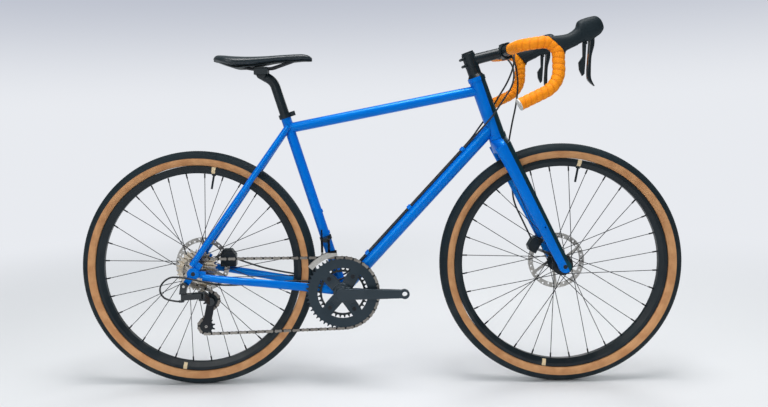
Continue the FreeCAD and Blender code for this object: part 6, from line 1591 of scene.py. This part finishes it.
@dataclass
class Bolt:
    """Socket-head bolt on the right face of a node, at one of its joints.

    The profile is (radius, height) in shares of the head's, from the socket's floor out. A radius of 0
    stands for the socket.
    """

    joint: str
    node: str
    reach: float
    finishes: Finishes
    radius: float = 4.2 * MM
    head: float = 1.6 * MM
    socket_share: float = 0.5
    profile_shares: Spots = ((0.0, 0.3), (0.0, 1.0), (0.8, 1.0), (0.96, 0.7), (1.0, -0.4))
    ring_points: int = 24
    sharp_angle: float = math.radians(35)

    def face(self, place: Vector) -> float:
        """Finds the node's right face.

        Args:
            place: The bolt's place; the face is sought within the reach of it.

        Returns:
            The face's side offset.
        """
        node = frame["nodes"][self.node]
        corners = (node.matrix_world @ vertex.co for vertex in node.data.vertices)
        return min(spot.y for spot in corners if math.hypot(spot.x - place.x, spot.z - place.z) < self.reach)

    def socket(self, turn: float) -> float:
        """Radius of the six-sided socket at a turn."""
        sixth = FULL_TURN / 6
        return self.radius * self.socket_share * math.cos(sixth / 2) / math.cos(turn % sixth - sixth / 2)

    def build(self) -> None:
        """Makes the head from its socket's floor out to its rim."""
        place = joint_place(self.joint)
        middle = Vector((place.x, self.face(place), place.z))
        rows = []
        for wide, rise in self.profile_shares:
            row = []
            for turn in round_turns(self.ring_points):
                radius = wide * self.radius or self.socket(turn)
                away = Vector((radius * math.cos(turn), -rise * self.head, radius * math.sin(turn)))
                row.append(middle + away)
            rows.append(row)
        head = mesh_piece(f"{self.joint}_bolt", *skin_rows(rows))
        head.data.set_sharp_from_angle(angle=self.sharp_angle)
        paint_piece(head, self.finishes["bolt_steel"])
        place_piece(head, self.node, "steel")


@dataclass
class Cord:
    """One control cord along its route."""

    name: str
    route: tuple[Place, ...]
    node: str
    finishes: Finishes
    diameter: float = 5 * MM
    steered: bool = False
    ring_points: int = 14
    resolution: int = 20
    held_below: Place = (0.300, 0.0, 0.735)
    carried_above: Place = (0.374, 0.0, 0.918)

    def line(self) -> list[Vector]:
        """Points of the smooth spline that has the route as its control points.

        Returns:
            The points in order.
        """
        curve = bpy.data.curves.new(f"{self.name}_line", "CURVE")
        curve.dimensions = "3D"
        curve.resolution_u = self.resolution
        spline = curve.splines.new("NURBS")
        spline.points.add(len(self.route) - 1)
        for point, place in zip(spline.points, self.route):
            point.co = (*place, 1)
        spline.order_u = 3
        spline.use_endpoint_u = True
        item = new_object(f"{self.name}_line", curve)
        bpy.context.view_layer.update()
        graph = bpy.context.evaluated_depsgraph_get()
        mesh = bpy.data.meshes.new_from_object(item.evaluated_get(graph), depsgraph=graph)
        points = [vertex.co.copy() for vertex in mesh.vertices]
        bpy.data.objects.remove(item)
        bpy.data.curves.remove(curve)
        bpy.data.meshes.remove(mesh)
        return points

    def build(self) -> None:
        """Makes the cord as a tube."""
        line = self.line()
        tube = mesh_piece(self.name, *skin_rows(swept(line, self.diameter / 2, self.ring_points)))
        paint_piece(tube, self.finishes["cord_black"])
        if self.steered:
            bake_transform(tube, "frame", "steering", start=self.held_below, end=self.carried_above)
            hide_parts(self.node)
        else:
            place_piece(tube, "steering", "plastic", self.node)


BOLTED_JOINTS = {
    "derailleur_swing": ("derailleur_knuckle", 12 * MM),
    "tension_pulley_spin": ("derailleur_cage", 5 * MM),
}
REAR_HOSE_ROUTE = (
    (0.3777, -0.0654, 0.9272), (0.3807, -0.0460, 0.9230), (0.3867, -0.0220, 0.8970),
    (0.3747, 0.0060, 0.8520), (0.3527, 0.0270, 0.8120), (0.3257, 0.0330, 0.7620),
    (0.2997, 0.0280, 0.7300), (0.2722, 0.0090, 0.6957), (0.2414, 0.0090, 0.6629),
    (-0.0346, 0.0090, 0.3688), (-0.0551, 0.0090, 0.3469), (-0.0745, 0.0200, 0.3220),
    (-0.1085, 0.0270, 0.3020), (-0.1705, 0.0295, 0.2995), (-0.3000, 0.0490, 0.3180),
    (-0.3600, 0.0550, 0.3330), (-0.4125, 0.0557, 0.3530),
)
SHIFT_ROUTE = (
    (0.3777, 0.0654, 0.9272), (0.3827, 0.0440, 0.9210), (0.3967, 0.0200, 0.8890),
    (0.3867, -0.0080, 0.8430), (0.3567, -0.0280, 0.8050), (0.3257, -0.0330, 0.7600),
    (0.2997, -0.0280, 0.7290), (0.2722, -0.0090, 0.6957), (0.2414, -0.0090, 0.6629),
    (-0.0346, -0.0090, 0.3688), (-0.0551, -0.0090, 0.3469), (-0.0745, -0.0200, 0.3220),
    (-0.1085, -0.0270, 0.3020), (-0.1705, -0.0295, 0.3005), (-0.2245, -0.0280, 0.3040),
    (-0.2700, -0.0335, 0.3030), (-0.3150, -0.0405, 0.3000), (-0.3750, -0.0490, 0.2995),
    (-0.4200, -0.0590, 0.3005), (-0.4520, -0.0740, 0.3060), (-0.4860, -0.0875, 0.3170),
    (-0.5150, -0.0915, 0.3260), (-0.5490, -0.0940, 0.3330), (-0.5800, -0.0960, 0.3340),
    (-0.6050, -0.0970, 0.3120), (-0.6060, -0.0970, 0.2870), (-0.5870, -0.0940, 0.2680),
    (-0.5562, -0.0923, 0.2646),
)
FRONT_HOSE_ROUTE = (
    (0.3803, 0.0650, 0.9425), (0.3837, 0.0520, 0.9400), (0.4007, 0.0470, 0.9210),
    (0.4107, 0.0480, 0.8820), (0.4127, 0.0480, 0.8370), (0.4067, 0.0500, 0.7850),
    (0.3967, 0.0560, 0.7370), (0.3820, 0.0615, 0.6470), (0.3890, 0.0625, 0.5990),
    (0.3970, 0.0620, 0.5510), (0.3990, 0.0520, 0.5070), (0.4210, 0.0400, 0.4570),
    (0.4440, 0.0360, 0.4056),
)


@dataclass(frozen=True)
class Lamp:
    """Square soft lamp."""

    name: str
    place: Place
    size: float
    power: float

    def build(self, aim: Vector) -> None:
        """Makes the lamp.

        Args:
            aim: The point that it faces.
        """
        light = bpy.data.lights.new(self.name, "AREA")
        light.size = self.size
        light.energy = self.power
        item = new_object(self.name, light)
        item.location = self.place
        item.rotation_euler = (aim - Vector(self.place)).to_track_quat("-Z", "Y").to_euler()


@dataclass
class Studio:
    """Pale floor, soft lamps and the camera at the photograph's place."""

    camera_place: Place = (-0.069, -2.097, 0.771)
    yaw: float = math.radians(2.20)
    pitch: float = math.radians(-3.75)
    roll: float = math.radians(1.32)
    focal_pixels: float = 738.6
    axis_x: float = 323.0
    axis_y: float = 163.8
    sensor: float = 36.0
    floor_half: float = 40.0
    floor_colour: Colour = (0.70, 0.695, 0.71)
    floor_roughness: float = 0.9
    far_marks: tuple[float, float] = (1.1, 3.2)
    far_colour: Colour = (0.81, 0.83, 0.87)
    sky_marks: tuple[float, float] = (0.01, 0.19)
    sky_colour: Colour = (0.49, 0.52, 0.60)
    fill_colour: Colour = (0.88, 0.97, 1.0)
    fill: float = 0.50
    mirror_fill: float = 0.22
    lamp_aim: Place = (0, 0, 0.5)
    lamps: tuple[Lamp, ...] = (
        Lamp("overhead_soft", (0.2, -0.4, 3.4), 1.5, 78.0),
        Lamp("front_soft", (-1.8, -3.4, 2.2), 2.4, 55.0),
        Lamp("back_soft", (1.6, 3.2, 2.4), 2.0, 40.0),
    )

    def build_camera(self) -> None:
        """Camera fitted to the photograph's frame."""
        lens = bpy.data.cameras.new("photo_camera")
        lens.sensor_width = self.sensor
        lens.lens = self.focal_pixels / PHOTO_WIDTH * self.sensor
        lens.shift_x = (PHOTO_WIDTH / 2 - self.axis_x) / PHOTO_WIDTH
        lens.shift_y = (self.axis_y - PHOTO_HEIGHT / 2) / PHOTO_WIDTH
        aim = Matrix.Rotation(self.yaw, 3, "Z") @ Matrix.Rotation(self.pitch, 3, "X")
        stand = Matrix.Rotation(self.roll, 3, "Y") @ Matrix.Rotation(FULL_TURN / 4, 3, "X")
        camera = new_object("photo_camera", lens)
        camera.matrix_world = Matrix.Translation(self.camera_place) @ (aim @ stand).to_4x4()
        bpy.context.scene.camera = camera

    def build_floor(self) -> None:
        """Pale floor that keeps the shadow and fades into the far background."""
        half = self.floor_half
        corners = [Vector((x, y, 0)) for x, y in ((-half, -half), (half, -half), (half, half), (-half, half))]
        floor = mesh_piece("studio_floor", corners, [[0, 1, 2, 3]])
        material = bpy.data.materials.new("studio_floor")
        material.use_nodes = True
        board = Board(material.node_tree)
        shader = material.node_tree.nodes["Principled BSDF"]
        shader.inputs["Base Color"].default_value = (*self.floor_colour, 1)
        shader.inputs["Roughness"].default_value = self.floor_roughness
        place = board.add("ShaderNodeTexCoord").outputs["Object"]
        away = board.add("ShaderNodeVectorMath", {0: place}, operation="LENGTH").outputs["Value"]
        path = board.add("ShaderNodeLightPath").outputs
        seen = board.sum("MULTIPLY", board.ramp(away, *self.far_marks), path["Is Camera Ray"])
        glow = board.add("ShaderNodeEmission", {"Color": (*self.far_colour, 1)}).outputs[0]
        mixed = board.add("ShaderNodeMixShader", {0: seen, 1: shader.outputs[0], 2: glow}).outputs[0]
        board.link(mixed, material.node_tree.nodes["Material Output"].inputs[0])
        paint_piece(floor, material)

    def build_world(self) -> None:
        """Even fill light, with a backdrop that darkens slowly upwards."""
        world = bpy.data.worlds.new("studio")
        world.use_nodes = True
        bpy.context.scene.world = world
        board = Board(world.node_tree)
        height = board.parts(board.add("ShaderNodeTexCoord").outputs["Generated"])[2]
        colour = board.blend(board.ramp(height, *self.sky_marks), self.far_colour, self.sky_colour)
        seen = world.node_tree.nodes["Background"]
        board.link(colour, seen.inputs["Color"])
        path = board.add("ShaderNodeLightPath").outputs
        strength = board.sum("MULTIPLY_ADD", path["Is Glossy Ray"], self.mirror_fill - self.fill, self.fill)
        fill = board.add("ShaderNodeBackground", {"Color": (*self.fill_colour, 1), "Strength": strength})
        mixed = board.add("ShaderNodeMixShader", {
            0: path["Is Camera Ray"], 1: fill.outputs[0], 2: seen.outputs[0]}).outputs[0]
        board.link(mixed, world.node_tree.nodes["World Output"].inputs[0])

    def build(self) -> None:
        """Sets up everything round the bicycle."""
        bpy.context.scene.view_settings.view_transform = "Standard"
        self.build_camera()
        self.build_floor()
        self.build_world()
        for lamp in self.lamps:
            lamp.build(Vector(self.lamp_aim))


def main() -> None:
    """Builds the studio, then each sub-assembly in order."""
    logging.basicConfig(level=logging.INFO, format="%(name)s: %(message)s")
    Studio().build()
    axles = {end: joint_place(f"{end}_wheel_spin") for end in ("front", "rear")}
    finishes = Finishes(axles, joint_place("crank_spin"))
    finishes.build()
    dress_nodes(finishes)
    soften_nodes()
    Cord("rear_brake_hose", REAR_HOSE_ROUTE, "rear_control_cables", finishes, steered=True).build()
    Cord("rear_shift_housing", SHIFT_ROUTE, "rear_control_cables", finishes, steered=True).build()
    Cord("front_brake_hose_line", FRONT_HOSE_ROUTE, "front_brake_hose", finishes).build()
    for end, axle in axles.items():
        Tyre(end, axle, finishes).build()
    Cockpit(finishes).build()
    Saddle(finishes).build()
    for joint, (node, reach) in BOLTED_JOINTS.items():
        Bolt(joint, node, reach, finishes).build()


if __name__ == "__main__":
    main()
